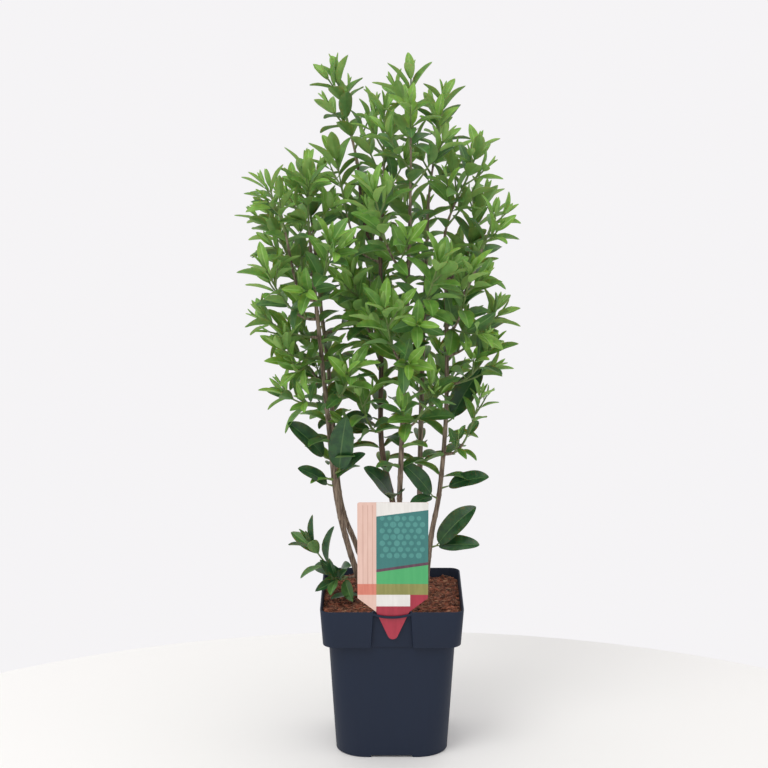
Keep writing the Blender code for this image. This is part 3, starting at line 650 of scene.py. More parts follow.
# Route points from the foot up, then the radius at foot and tip
CANES = {
    "cane_left": (
        [(-0.030, 0.018), (-0.047, 0.013, 0.213), (-0.059, 0.004, 0.272), (-0.069, -0.008, 0.380),
         (-0.078, -0.018, 0.480), (-0.083, -0.023, 0.538)], 0.0034, 0.0018),
    "cane_left_back": (
        [(-0.019, 0.031), (-0.039, 0.033, 0.208), (-0.056, 0.036, 0.262), (-0.066, 0.040, 0.385),
         (-0.075, 0.045, 0.465), (-0.081, 0.048, 0.526)], 0.0031, 0.0017),
    "cane_dark": (
        [(0.006, 0.020), (0.002, 0.019, 0.250), (-0.011, 0.017, 0.325), (-0.011, 0.014, 0.430),
         (-0.012, 0.012, 0.530), (-0.010, 0.011, 0.572)], 0.0036, 0.0017),
    "cane_middle": (
        [(0.005, -0.012), (0.008, -0.014, 0.270), (0.0125, -0.020, 0.400), (0.016, -0.027, 0.500),
         (0.018, -0.033, 0.580)], 0.0033, 0.0016),
    "cane_right_back": (
        [(0.029, 0.035), (0.0305, 0.038, 0.300), (0.0325, 0.042, 0.400), (0.035, 0.046, 0.480),
         (0.038, 0.050, 0.570)], 0.0033, 0.0016),
    "cane_right": (
        [(0.035, 0.004), (0.042, 0.003, 0.225), (0.051, 0.001, 0.280), (0.057, -0.003, 0.370),
         (0.056, -0.006, 0.480), (0.054, -0.008, 0.545)], 0.0030, 0.0016),
}
# Cane, height where it leaves, tip, radius at foot and tip
BOUGHS = {
    "bough_left": ("cane_left", 0.486, (-0.108, -0.041, 0.560), 0.0016, 0.0012),
    "bough_left_leader": ("cane_dark", 0.536, (-0.036, 0.030, 0.620), 0.0018, 0.0014),
    "bough_right": ("cane_right", 0.480, (0.092, -0.022, 0.540), 0.0016, 0.0012),
}
print("canes", len(CANES), "and boughs", len(BOUGHS))

# %% Tables of shoots and old leaves
# Limb, height where the shoot leaves it (None: its tip), tip, leaf length, number of side twigs
MASSES = {
    "leaves_left_low": ("cane_left", 0.372, (-0.112, -0.018, 0.388), 0.030, 1),
    "leaves_left_middle": ("cane_left", 0.424, (-0.114, -0.032, 0.438), 0.031, 1),
    "leaves_left_outer": ("cane_left", 0.446, (-0.132, -0.014, 0.468), 0.031, 2),
    "leaves_left_inner": ("cane_left", 0.376, (-0.040, -0.056, 0.424), 0.031, 1),
    "leaves_left_high": ("cane_left", 0.466, (-0.127, -0.048, 0.522), 0.032, 2),
    "leaves_left_front": ("cane_left", 0.500, (-0.062, -0.088, 0.558), 0.033, 2),
    "leaves_left_upper": ("cane_left", 0.512, (-0.128, 0.006, 0.574), 0.033, 1),
    "leaves_left_top": ("cane_left", None, (-0.086, -0.034, 0.614), 0.033, 3),
    "leaves_left_bough": ("bough_left", None, (-0.122, -0.049, 0.604), 0.031, 2),
    "leaves_dark_low": ("cane_dark", 0.338, (-0.034, -0.020, 0.386), 0.032, 1),
    "leaves_dark_front": ("cane_dark", 0.440, (-0.040, -0.044, 0.516), 0.035, 2),
    "leaves_dark_back": ("cane_dark", 0.410, (-0.022, 0.084, 0.480), 0.035, 2),
    "leaves_dark_high": ("cane_dark", 0.490, (-0.028, 0.074, 0.572), 0.035, 2),
    "leaves_dark_side": ("cane_dark", 0.520, (-0.058, 0.026, 0.626), 0.036, 2),
    "leaves_dark_top": ("cane_dark", None, (-0.008, 0.008, 0.678), 0.032, 4),
    "leaves_leader_top": ("bough_left_leader", None, (-0.057, 0.045, 0.712), 0.032, 3),
    "leaves_middle_right": ("cane_middle", 0.352, (0.040, -0.062, 0.406), 0.032, 2),
    "leaves_middle_left": ("cane_middle", 0.424, (-0.008, -0.086, 0.490), 0.034, 2),
    "leaves_middle_front": ("cane_middle", 0.468, (0.046, -0.090, 0.538), 0.035, 2),
    "leaves_middle_upper": ("cane_middle", 0.522, (-0.018, -0.080, 0.606), 0.034, 2),
    "leaves_middle_top": ("cane_middle", None, (0.0185, -0.041, 0.714), 0.032, 4),
    "leaves_right_shoot": ("cane_right", 0.318, (0.092, -0.026, 0.386), 0.022, 1),
    "leaves_right_low": ("cane_right", 0.394, (0.102, -0.034, 0.440), 0.032, 2),
    "leaves_right_outer": ("cane_right", 0.424, (0.106, 0.014, 0.468), 0.034, 1),
    "leaves_right_front": ("cane_right", 0.452, (0.078, -0.074, 0.524), 0.034, 2),
    "leaves_right_back": ("cane_right", 0.504, (0.096, 0.038, 0.582), 0.034, 2),
    "leaves_right_bough": ("bough_right", None, (0.104, -0.030, 0.574), 0.030, 2),
    "leaves_right_top": ("cane_right", None, (0.086, -0.012, 0.640), 0.032, 4),
    "leaves_sucker": ("cane_left", 0.178, (-0.084, -0.006, 0.218), 0.034, 1),
    "leaves_back_left_top": ("cane_left_back", None, (-0.090, 0.062, 0.610), 0.034, 3),
    "leaves_back_right_top": ("cane_right_back", None, (0.053, 0.058, 0.684), 0.033, 4),
}
# The back canes' shoots: limb, first height, rise, number, first azimuth, reach at the first and
# the last, leaf length
SPIRALS = {
    "leaves_back_left": ("cane_left_back", 0.338, 0.050, 4, 95.0, 0.066, 0.056, 0.035),
    "leaves_back_right": ("cane_right_back", 0.346, 0.056, 4, 60.0, 0.062, 0.052, 0.035),
}
SPIRAL_STEP = 137.5
SPIRAL_LIFT = 0.060
SPIRAL_SIDE_TWIGS = 2
# Cane, height of the bud, then the leaves' tips
OLD_LEAVES = {
    "old_leaf_left": ("cane_left", 0.312, [(-0.103, -0.022, 0.357)]),
    "old_leaf_left_low": ("cane_left", 0.282, [(-0.094, -0.020, 0.309)]),
    "old_leaves_left_inner": ("cane_left", 0.296, [(-0.051, -0.030, 0.357), (-0.031, -0.012, 0.322)]),
    "old_leaves_dark_high": ("cane_dark", 0.350, [(-0.052, -0.012, 0.357), (-0.050, 0.030, 0.345)]),
    "old_leaves_dark_low": ("cane_dark", 0.262, [(-0.018, -0.018, 0.308), (0.006, -0.034, 0.290)]),
    "old_leaves_middle": ("cane_right", 0.268, [(0.014, -0.014, 0.312), (0.020, -0.024, 0.270)]),
    "old_leaf_right": ("cane_right", 0.280, [(0.099, -0.022, 0.300)]),
    "old_leaves_right_low": ("cane_right", 0.214, [(0.083, -0.014, 0.264), (0.091, -0.020, 0.224)]),
    "old_leaf_right_high": ("cane_right", 0.352, [(0.092, 0.012, 0.408)]),
}
print("masses", len(MASSES), "and", len(SPIRALS), "spirals")

# %% Limb routes
FINE_STEP = 0.0022
BOW_OUT = 0.30
BOW_UP = 0.35
BOW_RISE = 0.7
SHOOT_FOOT_RADIUS = 0.0014
SHOOT_SINK = 0.5


def smooth_route(points, step=FINE_STEP):
    """A smooth curve through the points, read off about every step."""
    padded = [points[0] * 2 - points[1]] + points + [points[-1] * 2 - points[-2]]
    route = []
    for i in range(1, len(padded) - 2):
        p0, p1, p2, p3 = padded[i - 1:i + 3]
        count = max(1, round((p2 - p1).length / step))
        for k in range(count):
            t = k / count
            route.append(0.5 * (2 * p1 + (p2 - p0) * t + (2 * p0 - 5 * p1 + 4 * p2 - p3) * t * t
                                + (3 * p1 - p0 - 3 * p2 + p3) * t ** 3))
    route.append(points[-1].copy())
    return route


def bow(start, outward, tip, step=FINE_STEP * 2.0):
    """A shoot's route: straight out of its limb, then up to its tip."""
    span = (tip - start).length
    along = (tip - start).normalized()
    rise = (along + UP * BOW_RISE).normalized()
    p1 = start + outward * span * BOW_OUT
    p2 = tip - rise * span * BOW_UP
    count = max(2, round(span / step))
    route = []
    for k in range(count + 1):
        t = k / count
        route.append(start * (1 - t) ** 3 + p1 * 3 * t * (1 - t) ** 2
                     + p2 * 3 * t * t * (1 - t) + tip * t ** 3)
    return route


class Limb:
    """A cane or bough: its route and its radius at each point of it."""

    def __init__(self, route, foot, tip):
        self.route = route
        self.radii = [blend(foot, tip, i / (len(route) - 1)) for i in range(len(route))]

    def at_height(self, height):
        """Position, direction and radius where the limb passes a height."""
        for i in range(len(self.route) - 1):
            low, high = self.route[i], self.route[i + 1]
            if low.z <= height <= high.z:
                share = (height - low.z) / (high.z - low.z)
                radius = blend(self.radii[i], self.radii[i + 1], share)
                return low.lerp(high, share), (high - low).normalized(), radius
        raise ValueError("no point of the limb is %.3f high" % height)

    def leave(self, height, towards, foot_radius):
        """Where a shoot starts and the way it leaves; a side shoot starts inside the bark."""
        if height is None:
            return self.route[-1].copy(), (self.route[-1] - self.route[-2]).normalized()
        centre, along, radius = self.at_height(height)
        way = towards - centre
        outward = (way - along * way.dot(along)).normalized()
        return centre + outward * (radius - foot_radius * SHOOT_SINK), outward


limbs = {}
for name, (points, foot, tip) in CANES.items():
    start = Vector((points[0][0], points[0][1], SOIL_TOP + GAP))
    limbs[name] = Limb(smooth_route([start] + [Vector(p) for p in points[1:]]), foot, tip)
for name, (cane, height, tip, foot, tip_radius) in BOUGHS.items():
    start, outward = limbs[cane].leave(height, Vector(tip), foot)
    limbs[name] = Limb(bow(start, outward, Vector(tip), FINE_STEP), foot, tip_radius)
print("limbs", len(limbs))

# %% [markdown]
# ## Bark
# Privet bark is smooth and grey-brown, with small raised pores, faint ridges along the cane and a
# swollen ring wherever a pair of leaves once sat. All of that is real relief here: each ring of the
# tube is pushed out by a swelling at the nodes and by two noises, one of them stretched along the
# cane. The foot flares into the compost.

# %% Bark relief
BARK_SIDES = 16
BOUGH_SIDES = 10
NODE_SPACING = 0.023
NODE_SWELL = 0.00042
NODE_WIDTH = 0.0016
RIDGE, RIDGE_ROUND, RIDGE_ALONG = 0.00016, 2.4, 35.0
PORE, PORE_ROUND, PORE_ALONG = 0.00012, 5.0, 420.0
FLARE = 0.5
FLARE_HEIGHT = 0.010


def ring_frame(route):
    """A direction across the route at each point, carried along without twisting."""
    frames = []
    across = (route[1] - route[0]).orthogonal().normalized()
    for i in range(len(route)):
        axis = (route[min(i + 1, len(route) - 1)] - route[max(i - 1, 0)]).normalized()
        across = (across - axis * across.dot(axis)).normalized()
        frames.append((axis, across, axis.cross(across)))
    return frames


def bark_tube(route, radii, seed, sides=BARK_SIDES, flare=FLARE):
    """A closed limb with relief: nodes, ridges, pores and a flared foot."""
    rings = []
    run = 0.0
    shift = Random(seed).uniform(0.0, 100.0)
    for i, (axis, across, other) in enumerate(ring_frame(route)):
        if i > 0:
            run += (route[i] - route[i - 1]).length
        nearest = run - NODE_SPACING * round(run / NODE_SPACING)
        swell = NODE_SWELL * math.exp(-(nearest / NODE_WIDTH) ** 2)
        node_turn = 90.0 * round(run / NODE_SPACING)
        ring = []
        for k in range(sides):
            angle = 2.0 * math.pi * k / sides
            out = across * math.cos(angle) + other * math.sin(angle)
            scar = 0.5 + 0.5 * abs(math.cos(angle - math.radians(node_turn)))
            ridge = noise.noise(Vector((out.x * RIDGE_ROUND + shift, out.y * RIDGE_ROUND, run * RIDGE_ALONG)))
            pore = noise.noise(Vector((out.x * PORE_ROUND, out.y * PORE_ROUND + shift, run * PORE_ALONG)))
            reach = radii[i] * (1.0 + flare * math.exp(-run / FLARE_HEIGHT))
            reach += swell * scar + RIDGE * ridge + PORE * max(pore, 0.0)
            ring.append(route[i] + out * reach)
        rings.append(ring)
    return loft(rings)


def bark(name, dark, light):
    """Bark: long streaks of two browns with a fine grain."""
    return finish(name, (dark, light), (STREAK, 520.0, 5.0, 0.36, 0.64), (0.62, 0.90),
                  (MOTTLE, 2600.0, 4.0, 0.30, 0.70), (0.5, 0.0004))


grey_bark = bark("grey_bark", (0.115, 0.078, 0.052), (0.330, 0.255, 0.190))
brown_bark = bark("brown_bark", (0.050, 0.030, 0.020), (0.180, 0.115, 0.080))
CANE_BARK = {"cane_dark": brown_bark, "bough_left_leader": brown_bark}
for name in list(CANES) + list(BOUGHS):
    limb = limbs[name]
    flare = FLARE if name in CANES else 0.0
    sides = BARK_SIDES if name in CANES else BOUGH_SIDES
    make_piece("bark_" + name, *bark_tube(limb.route, limb.radii, name, sides, flare),
               [CANE_BARK.get(name, grey_bark)], "bark", [name])

# %% [markdown]
# ## A leaf
# A privet leaf is a pointed oval on a short stalk, folded a little along its midrib, arched back
# towards its tip, and paler underneath. It is made as a closed blade: an upper and a lower sheet
# that meet at the margin. The outline comes from one formula, the fold tilts each half, and the
# arch lays the midrib on an arc. The faces along the midrib, the upper side and the underside are
# marked, so that each gets its own finish.

# %% Blade
TOP, UNDER, RIB = 0, 1, 2
FIRST_ROW = 0.55
HALF_WAY_OUT = 0.55
WIDEST_AT = 0.47
LEAST_ARCH = 0.01
FOLD_SOFTNESS = 0.012
FOLD_SINK = 0.11
RIPPLES = 1.6
RIPPLE_SHIFT = 1.5
VEIN_SLANT = 1.3
RIB_THICKNESS = 0.9
RIB_HALF = 0.2


class BladeGrid:
    """The faces of a leaf blade with a number of rows and columns, and where its points lie."""

    def __init__(self, rows, columns, rib_half):
        self.rows = rows
        self.columns = columns
        self.u = np.array([(r + FIRST_ROW) / rows for r in range(rows)])
        side = [-1.0, -HALF_WAY_OUT, -rib_half]
        self.v = np.array(side + [0.0] + [-s for s in reversed(side)])
        self.faces, self.marks = self.sheets()

    def upper(self, r, c):
        """Index of an upper point."""
        return 1 + r * self.columns + c

    def lower(self, r, c):
        """Index of a lower point; the margin's points are shared."""
        if c in (0, self.columns - 1):
            return self.upper(r, c)
        return 2 + self.rows * self.columns + r * (self.columns - 2) + c - 1

    def sheets(self):
        """Faces of both sheets, and their marks."""
        faces, marks = [], []
        tip = 1 + self.rows * self.columns
        middle = (self.columns - 1) // 2
        for c in range(self.columns - 1):
            mark = RIB if c in (middle - 1, middle) else TOP
            for r in range(self.rows - 1):
                faces.append((self.upper(r, c), self.upper(r + 1, c), self.upper(r + 1, c + 1),
                              self.upper(r, c + 1)))
                faces.append((self.lower(r, c), self.lower(r, c + 1), self.lower(r + 1, c + 1),
                              self.lower(r + 1, c)))
                marks += [mark, UNDER]
            faces.append((0, self.upper(0, c), self.upper(0, c + 1)))
            faces.append((0, self.lower(0, c + 1), self.lower(0, c)))
            faces.append((tip, self.upper(self.rows - 1, c + 1), self.upper(self.rows - 1, c)))
            faces.append((tip, self.lower(self.rows - 1, c), self.lower(self.rows - 1, c + 1)))
            marks += [mark, UNDER, mark, UNDER]
        return faces, marks


def blade_points(grid, length, width, fold, arch, roundness=0.80, thickness=0.00035, wave=0.0, phase=0.0,
                 vein=0.0, veins=6):
    """Points of a blade in its own space: x along, y across, z up, its foot at the origin.

    fold is the angle that each half rises, arch the angle that the midrib turns down over its length.
    """
    peak = WIDEST_AT
    low_power, high_power = roundness * peak / (1.0 - peak), roundness
    spread = (grid.u / peak) ** low_power * ((1.0 - grid.u) / (1.0 - peak)) ** high_power * width / 2.0
    arch = arch if abs(arch) > LEAST_ARCH else LEAST_ARCH
    s = grid.u[:, None]
    v = grid.v[None, :]
    turn = arch * s
    soft = np.sqrt(v * v + FOLD_SOFTNESS) - FOLD_SINK
    ripple = wave * np.sin(2.0 * math.pi * (RIPPLES * s + phase) + RIPPLE_SHIFT * np.sign(v)) * v * v
    quilt = vein * np.sin(2.0 * math.pi * (veins * s - VEIN_SLANT * np.abs(v)))
    quilt = quilt * np.abs(v) * (1.0 - np.abs(v))
    rise = soft * spread[:, None] * math.sin(fold) + ripple * spread[:, None] + quilt
    x = length * np.sin(turn) / arch + np.sin(turn) * rise
    z = -length * (1.0 - np.cos(turn)) / arch + np.cos(turn) * rise
    y = v * spread[:, None] * math.cos(fold)
    upper = np.stack([x, np.broadcast_to(y, x.shape), z], axis=2)
    body = thickness * (1.0 + RIB_THICKNESS * (np.abs(grid.v) < RIB_HALF))[None, 1:-1]
    inner = upper[:, 1:-1]
    down = np.stack([-np.sin(turn) * body, np.zeros_like(turn * body), -np.cos(turn) * body], axis=2)
    tip = (length * math.sin(arch) / arch, 0.0, -length * (1.0 - math.cos(arch)) / arch)
    return np.concatenate([np.zeros((1, 3)), upper.reshape(-1, 3), np.array([tip]),
                           (inner + down).reshape(-1, 3)])


def set_leaf(points, foot, way, face):
    """Carry a blade from its own space to its place: foot, the way it points and its upper side."""
    across = face.cross(way).normalized()
    face = way.cross(across).normalized()
    basis = np.array([way[:], across[:], face[:]])
    return points @ basis + np.array(foot[:])


YOUNG_GRID = BladeGrid(8, 7, 0.09)
OLD_GRID = BladeGrid(22, 7, 0.05)
print("a young blade has", len(YOUNG_GRID.faces), "faces")

# %% [markdown]
# ## Room for every leaf
# Leaves of a real shoot turn aside from one another and from the stems. Here a leaf is stood for by
# a few points along and across it. It is only kept where those points are clear of every earlier
# leaf and of the limbs, otherwise it is turned a little and tried again, and dropped at the end.

# %% Room
LEAF_ROOM = 0.0056
LIMB_ROOM = 0.0042
TRIES = 6


class Room:
    """Points already taken by limbs and by leaves."""

    def __init__(self):
        self.solid = []
        self.leaves = np.zeros((0, 3))
        self.nodes = np.zeros(0, dtype=int)

    def add_route(self, route):
        """Take up the line of a limb or shoot."""
        self.solid.extend([tuple(p) for p in route])

    def settle(self):
        """Keep the limbs' points as one array."""
        self.line = np.array(self.solid)

    def is_free(self, probe, node):
        """Whether a leaf's points are clear of limbs and of leaves of other nodes."""
        outer = probe[1:]
        if (((self.line[:, None] - outer[None]) ** 2).sum(axis=2) < LIMB_ROOM ** 2).any():
            return False
        others = self.leaves[self.nodes != node]
        if len(others) == 0:
            return True
        return not (((others[:, None] - probe[None]) ** 2).sum(axis=2) < LEAF_ROOM ** 2).any()

    def add_leaf(self, probe, node):
        """Take up a leaf."""
        self.leaves = np.concatenate([self.leaves, probe])
        self.nodes = np.concatenate([self.nodes, np.full(len(probe), node)])


room = Room()
for limb in limbs.values():
    room.add_route(limb.route)
print("room holds", len(room.solid), "points of limbs")

# %% [markdown]
# ## Shoots by the source's rule
# A mass of foliage is one stem that bows out of its cane, with side twigs that leave it alternately,
# each a share of the length that is left. That is the rule of the solids, with the same seeds, so
# the shoots fill the same space. Here each of them, but for the low sucker, gets one more side twig.

# %% Shoots
SEED = 11
TWIG_TIP_RADIUS = 0.0007
SIDE_TWIG_FIRST = 0.16
SIDE_TWIG_SPREAD = 0.60
SIDE_TWIG_ANGLE = 46.0
SIDE_TWIG_RISE = 0.35
SIDE_TWIG_SHARE = 0.42
SIDE_TWIG_LEAST = 0.012
SIDE_TWIG_JITTER = 30.0
SIDE_TWIG_RADIUS = 0.7
SIDE_TWIG_STEPS = 5
SIDE_TWIG_SAG = 0.05
NEARLY_UPRIGHT = 0.05
EXTRA_TWIGS = 1
CROWN_FOOT = 0.26
EXTRA_TURN = 90.0
GREEN_LENGTH = 0.055
SHOOT_SIDES = 7


def place_on(route, distance):
    """Point and direction at a distance along a route."""
    for low, high in zip(route, route[1:]):
        piece = (high - low).length
        if distance <= piece or high is route[-1]:
            return low.lerp(high, min(distance / piece, 1.0)), (high - low).normalized()
        distance -= piece


def route_length(route):
    """Length along a route."""
    return sum((high - low).length for low, high in zip(route, route[1:]))


def turned(along, degrees_round):
    """A direction square to along, turned about it."""
    side = along.cross(UP)
    if side.length < NEARLY_UPRIGHT:
        side = along.cross(Vector((0.0, 1.0, 0.0)))
    return Matrix.Rotation(math.radians(degrees_round), 3, along) @ side.normalized()


def straight(start, end, steps=SIDE_TWIG_STEPS):
    """A short twig's route, sagging down slightly in the middle."""
    sag = UP * (end - start).length * SIDE_TWIG_SAG
    return [start.lerp(end, i / steps) - sag * 4.0 * (i / steps) * (1.0 - i / steps)
            for i in range(steps + 1)]


class Shoot:
    """One mass: its stem and side twigs."""

    def __init__(self, name, route, leaf_length, side_twigs):
        self.name = name
        self.leaf_length = leaf_length
        self.random = Random("%s %d" % (name, SEED))
        self.spin = self.random.uniform(0.0, 360.0)
        self.axes = [route]
        self.radii = [SHOOT_FOOT_RADIUS]
        whole = route_length(route)
        count = side_twigs + EXTRA_TWIGS if route[0].z > CROWN_FOOT else 1
        for number in range(count):
            distance = whole * (SIDE_TWIG_FIRST + SIDE_TWIG_SPREAD * number / max(count - 1, 1))
            foot, along = place_on(route, distance)
            spin = self.spin + 180.0 * number + EXTRA_TURN * (number // 2)
            spin += self.random.uniform(-SIDE_TWIG_JITTER, SIDE_TWIG_JITTER)
            angle = math.radians(SIDE_TWIG_ANGLE)
            way = along * math.cos(angle) + turned(along, spin) * math.sin(angle)
            length = (whole - distance) * SIDE_TWIG_SHARE + SIDE_TWIG_LEAST
            end = foot + (way + UP * SIDE_TWIG_RISE).normalized() * length
            self.axes.append(straight(foot, end))
            self.radii.append(SHOOT_FOOT_RADIUS * SIDE_TWIG_RADIUS)


def plan_shoots():
    """Every mass's shoot, from its own limb to its own tip."""
    rows = {name: (limb, height, Vector(tip), leaf, twigs)
            for name, (limb, height, tip, leaf, twigs) in MASSES.items()}
    for name, (limb, first, rise, number, azimuth, low_reach, high_reach, leaf) in SPIRALS.items():
        for i in range(number):
            angle = math.radians(azimuth + SPIRAL_STEP * i)
            reach = blend(low_reach, high_reach, i / (number - 1))
            offset = Vector((math.cos(angle) * reach, math.sin(angle) * reach, SPIRAL_LIFT))
            height = first + rise * i
            centre = limbs[limb].at_height(height)[0]
            rows["%s_%d" % (name, i + 1)] = (limb, height, centre + offset, leaf, SPIRAL_SIDE_TWIGS)
    shoots = []
    for name, (limb, height, tip, leaf, twigs) in rows.items():
        start, outward = limbs[limb].leave(height, tip, SHOOT_FOOT_RADIUS)
        shoots.append(Shoot(name, bow(start, outward, tip), leaf, twigs))
    return shoots


shoots = plan_shoots()
for shoot in shoots:
    for route in shoot.axes:
        room.add_route(route[2:])
room.settle()
print("shoots", len(shoots), "with", sum(len(s.axes) - 1 for s in shoots), "side twigs")

# %% [markdown]
# ## Leaf pairs
# Privet leaves sit in opposite pairs, each pair a quarter turn from the last. At the tip the
# youngest stand almost upright in a small star. Further down they grow, open out and arch back, and
# the oldest are the darkest. So a leaf's size, angle, arch and colour all come from how far it is
# from its shoot's tip.

# %% Leaf sites
# Distance from the tip, share of full length, opening angle in degrees, arch in radians, width share
TIP_PAIRS = ((0.001, 0.56, 8.0, 0.10, 0.30), (0.004, 0.86, 19.0, 0.25, 0.38),
             (0.014, 0.97, 31.0, 0.40, 0.43), (0.031, 1.03, 41.0, 0.50, 0.46))
PAIR_STEP = 0.0190
FIRST_PAIR = 0.010
LOW_ANGLE = 49.0
LOW_ARCH = 0.58
LOW_WIDTH = 0.47
LEAF_GROWN = 1.10
PETIOLE = 0.0030
CANE_PAIR_STEP = 0.022
CANE_LEAVES_FROM = 0.285
FOLD = (0.30, 0.62)
ARCH_RANGE = (0.7, 1.4)
SIZE_RANGE = (0.86, 1.10)
SPIN_JITTER = 9.0
OPENING_JITTER = 6.0
FACE_RISE = 0.35
YOUNG_WAVE = 0.05
STALK_RADIUS = 0.00050
STALK_OVERLAP = 0.0006
STALK_ANGLES = (0.0, 1.2566, 2.5133, 3.7699, 5.0265)
STALK_FOOT_WIDTH = 1.25
STALK_NARROWING = 0.2

leaf_heaps = {"fresh": Heap(), "green": Heap(), "deep": Heap(), "old": Heap()}
petioles = Heap()


def stalk(start, end, radius):
    """A leaf's short stalk."""
    route = [start, start.lerp(end, 0.5), end]
    rings = []
    for i, (axis, across, other) in enumerate(ring_frame(route)):
        wide = radius * (STALK_FOOT_WIDTH - STALK_NARROWING * i)
        rings.append([route[i] + (across * math.cos(a) + other * math.sin(a)) * wide
                      for a in STALK_ANGLES])
    return loft(rings)


def probe_points(points, grid):
    """The few points of a blade that stand for it in the test of its room."""
    middle = (grid.columns - 1) // 2
    rows = [grid.rows // 4, grid.rows // 2, 3 * grid.rows // 4]
    picks = [grid.upper(r, middle) for r in rows]
    picks += [grid.upper(grid.rows // 2, 1), grid.upper(grid.rows // 2, grid.columns - 2)]
    return points[picks + [1 + grid.rows * grid.columns]]


def grow_leaf(shoot, node, point, along, spin, size, angle, arch, width_share, shade):
    """One leaf with its stalk, where there is room for it."""
    for attempt in range(TRIES):
        turn = spin + shoot.random.uniform(-SPIN_JITTER, SPIN_JITTER) * (attempt + 1)
        wobble = shoot.random.uniform(-OPENING_JITTER, OPENING_JITTER)
        opening = math.radians(angle + wobble * (1 + attempt))
        length = shoot.leaf_length * LEAF_GROWN * size * shoot.random.uniform(*SIZE_RANGE)
        way = along * math.cos(opening) + turned(along, turn) * math.sin(opening)
        foot = point + way * PETIOLE
        face = (along - way * along.dot(way)).normalized()
        face = (face + UP * FACE_RISE).normalized()
        blade = blade_points(YOUNG_GRID, length, length * width_share, shoot.random.uniform(*FOLD),
                             arch * shoot.random.uniform(*ARCH_RANGE), wave=YOUNG_WAVE,
                             phase=shoot.random.random())
        points = set_leaf(blade, foot, way, face)
        probe = probe_points(points, YOUNG_GRID)
        if room.is_free(probe, node):
            room.add_leaf(probe, node)
            leaf_heaps[shade].add(points.tolist(), YOUNG_GRID.faces, YOUNG_GRID.marks)
            petioles.add(*stalk(point, foot + way * STALK_OVERLAP, STALK_RADIUS))
            return True
    return False


SIDE_LEAF_SIZE = 0.86
PAIR_TURN = 90.0
TWIG_TURN = 40.0
PAIR_JITTER = 18.0


def leaf_rows(shoot):
    """Every pair of one mass.

    A row is pair, axis number, point, direction, spin, size, angle, arch, width and distance.
    """
    rows = []
    for number, route in enumerate(shoot.axes):
        whole = route_length(route)
        pairs = list(TIP_PAIRS)
        distance = TIP_PAIRS[-1][0] + PAIR_STEP
        while distance < whole - FIRST_PAIR:
            pairs.append((distance, 1.0, LOW_ANGLE, LOW_ARCH, LOW_WIDTH))
            distance += PAIR_STEP
        for pair, (distance, size, angle, arch, width) in enumerate(pairs):
            if distance > whole:
                continue
            point, along = place_on(route, whole - distance)
            scale = size if number == 0 else size * SIDE_LEAF_SIZE
            spin = shoot.spin + PAIR_TURN * pair + TWIG_TURN * number
            spin += shoot.random.uniform(-PAIR_JITTER, PAIR_JITTER)
            rows.append((pair, number, point, along, spin, scale, angle, arch, width, distance))
    return rows


# Heights and distances from the tip that part the greens, and the share of the darker ones in each
OLD_BELOW, OLD_SHARE = 0.26, 0.5
LOW_BELOW, LOW_DEEP_SHARE = 0.40, 0.55
STAR_WITHIN = 0.006
TIP_WITHIN, TIP_FRESH_SHARE = 0.030, 0.40
GREEN_UP_TO, DEEP_UP_TO = 0.55, 0.93


def shade_of(shoot, distance, height):
    """Which green a leaf takes: fresh at the tips, deep low down and inside."""
    draw = shoot.random.random()
    if height < OLD_BELOW:
        return "old" if draw < OLD_SHARE else "deep"
    if distance < STAR_WITHIN:
        return "fresh"
    if height < LOW_BELOW:
        return "deep" if draw < LOW_DEEP_SHARE else "green"
    if distance < TIP_WITHIN:
        return "fresh" if draw < TIP_FRESH_SHARE else "green"
    if draw < GREEN_UP_TO:
        return "green"
    return "deep" if draw < DEEP_UP_TO else "fresh"


grown = 0
asked = 0
plans = [(shoot, row) for shoot in shoots for row in leaf_rows(shoot)]
plans.sort(key=lambda plan: plan[1][0])
for shoot, (pair, number, point, along, spin, size, angle, arch, width, distance) in plans:
    node = len(room.nodes) + 1
    for side in (0.0, 180.0):
        shade = shade_of(shoot, distance, point.z)
        grown += grow_leaf(shoot, node, point, along, spin + side, size, angle, arch, width, shade)
        asked += 1
print("leaves grown", grown, "of", asked)

# %% [markdown]
# ## Leaves on the canes
# Between its shoots a cane carries leaf pairs of its own, from its upper end down to where the crown
# begins. They use the same rule for room, so they only fill what the shoots have left free.

# %% Leaves on the canes themselves
CANE_LEAF_LENGTH = 0.034
CANE_FIRST_PAIR = 0.012
CANE_DEEP_SHARE = 0.5
# Size, opening angle, arch and width share
CANE_LEAF_FORM = (0.95, 58.0, 0.7, 0.46)

for name, limb in limbs.items():
    holder = Shoot(name, limb.route[-8:], CANE_LEAF_LENGTH, 0)
    whole = route_length(limb.route)
    distance = CANE_FIRST_PAIR
    pair = 0
    while distance < whole:
        point, along = place_on(limb.route, whole - distance)
        if point.z > CANE_LEAVES_FROM:
            node = len(room.nodes) + 1
            for side in (0.0, 180.0):
                shade = "deep" if holder.random.random() < CANE_DEEP_SHARE else "green"
                spin = PAIR_TURN * pair + side
                grown += grow_leaf(holder, node, point, along, spin, *CANE_LEAF_FORM, shade)
        distance += CANE_PAIR_STEP
        pair += 1
print("leaves with those on canes", grown)

# %% [markdown]
# ## Old leaves
# A few large leaves of last year are left low on the canes. They are rounder, dark and glossy, with
# shallow side veins, so they get a finer grid that can carry the quilting between the veins. One
# more has fallen and lies on the compost.

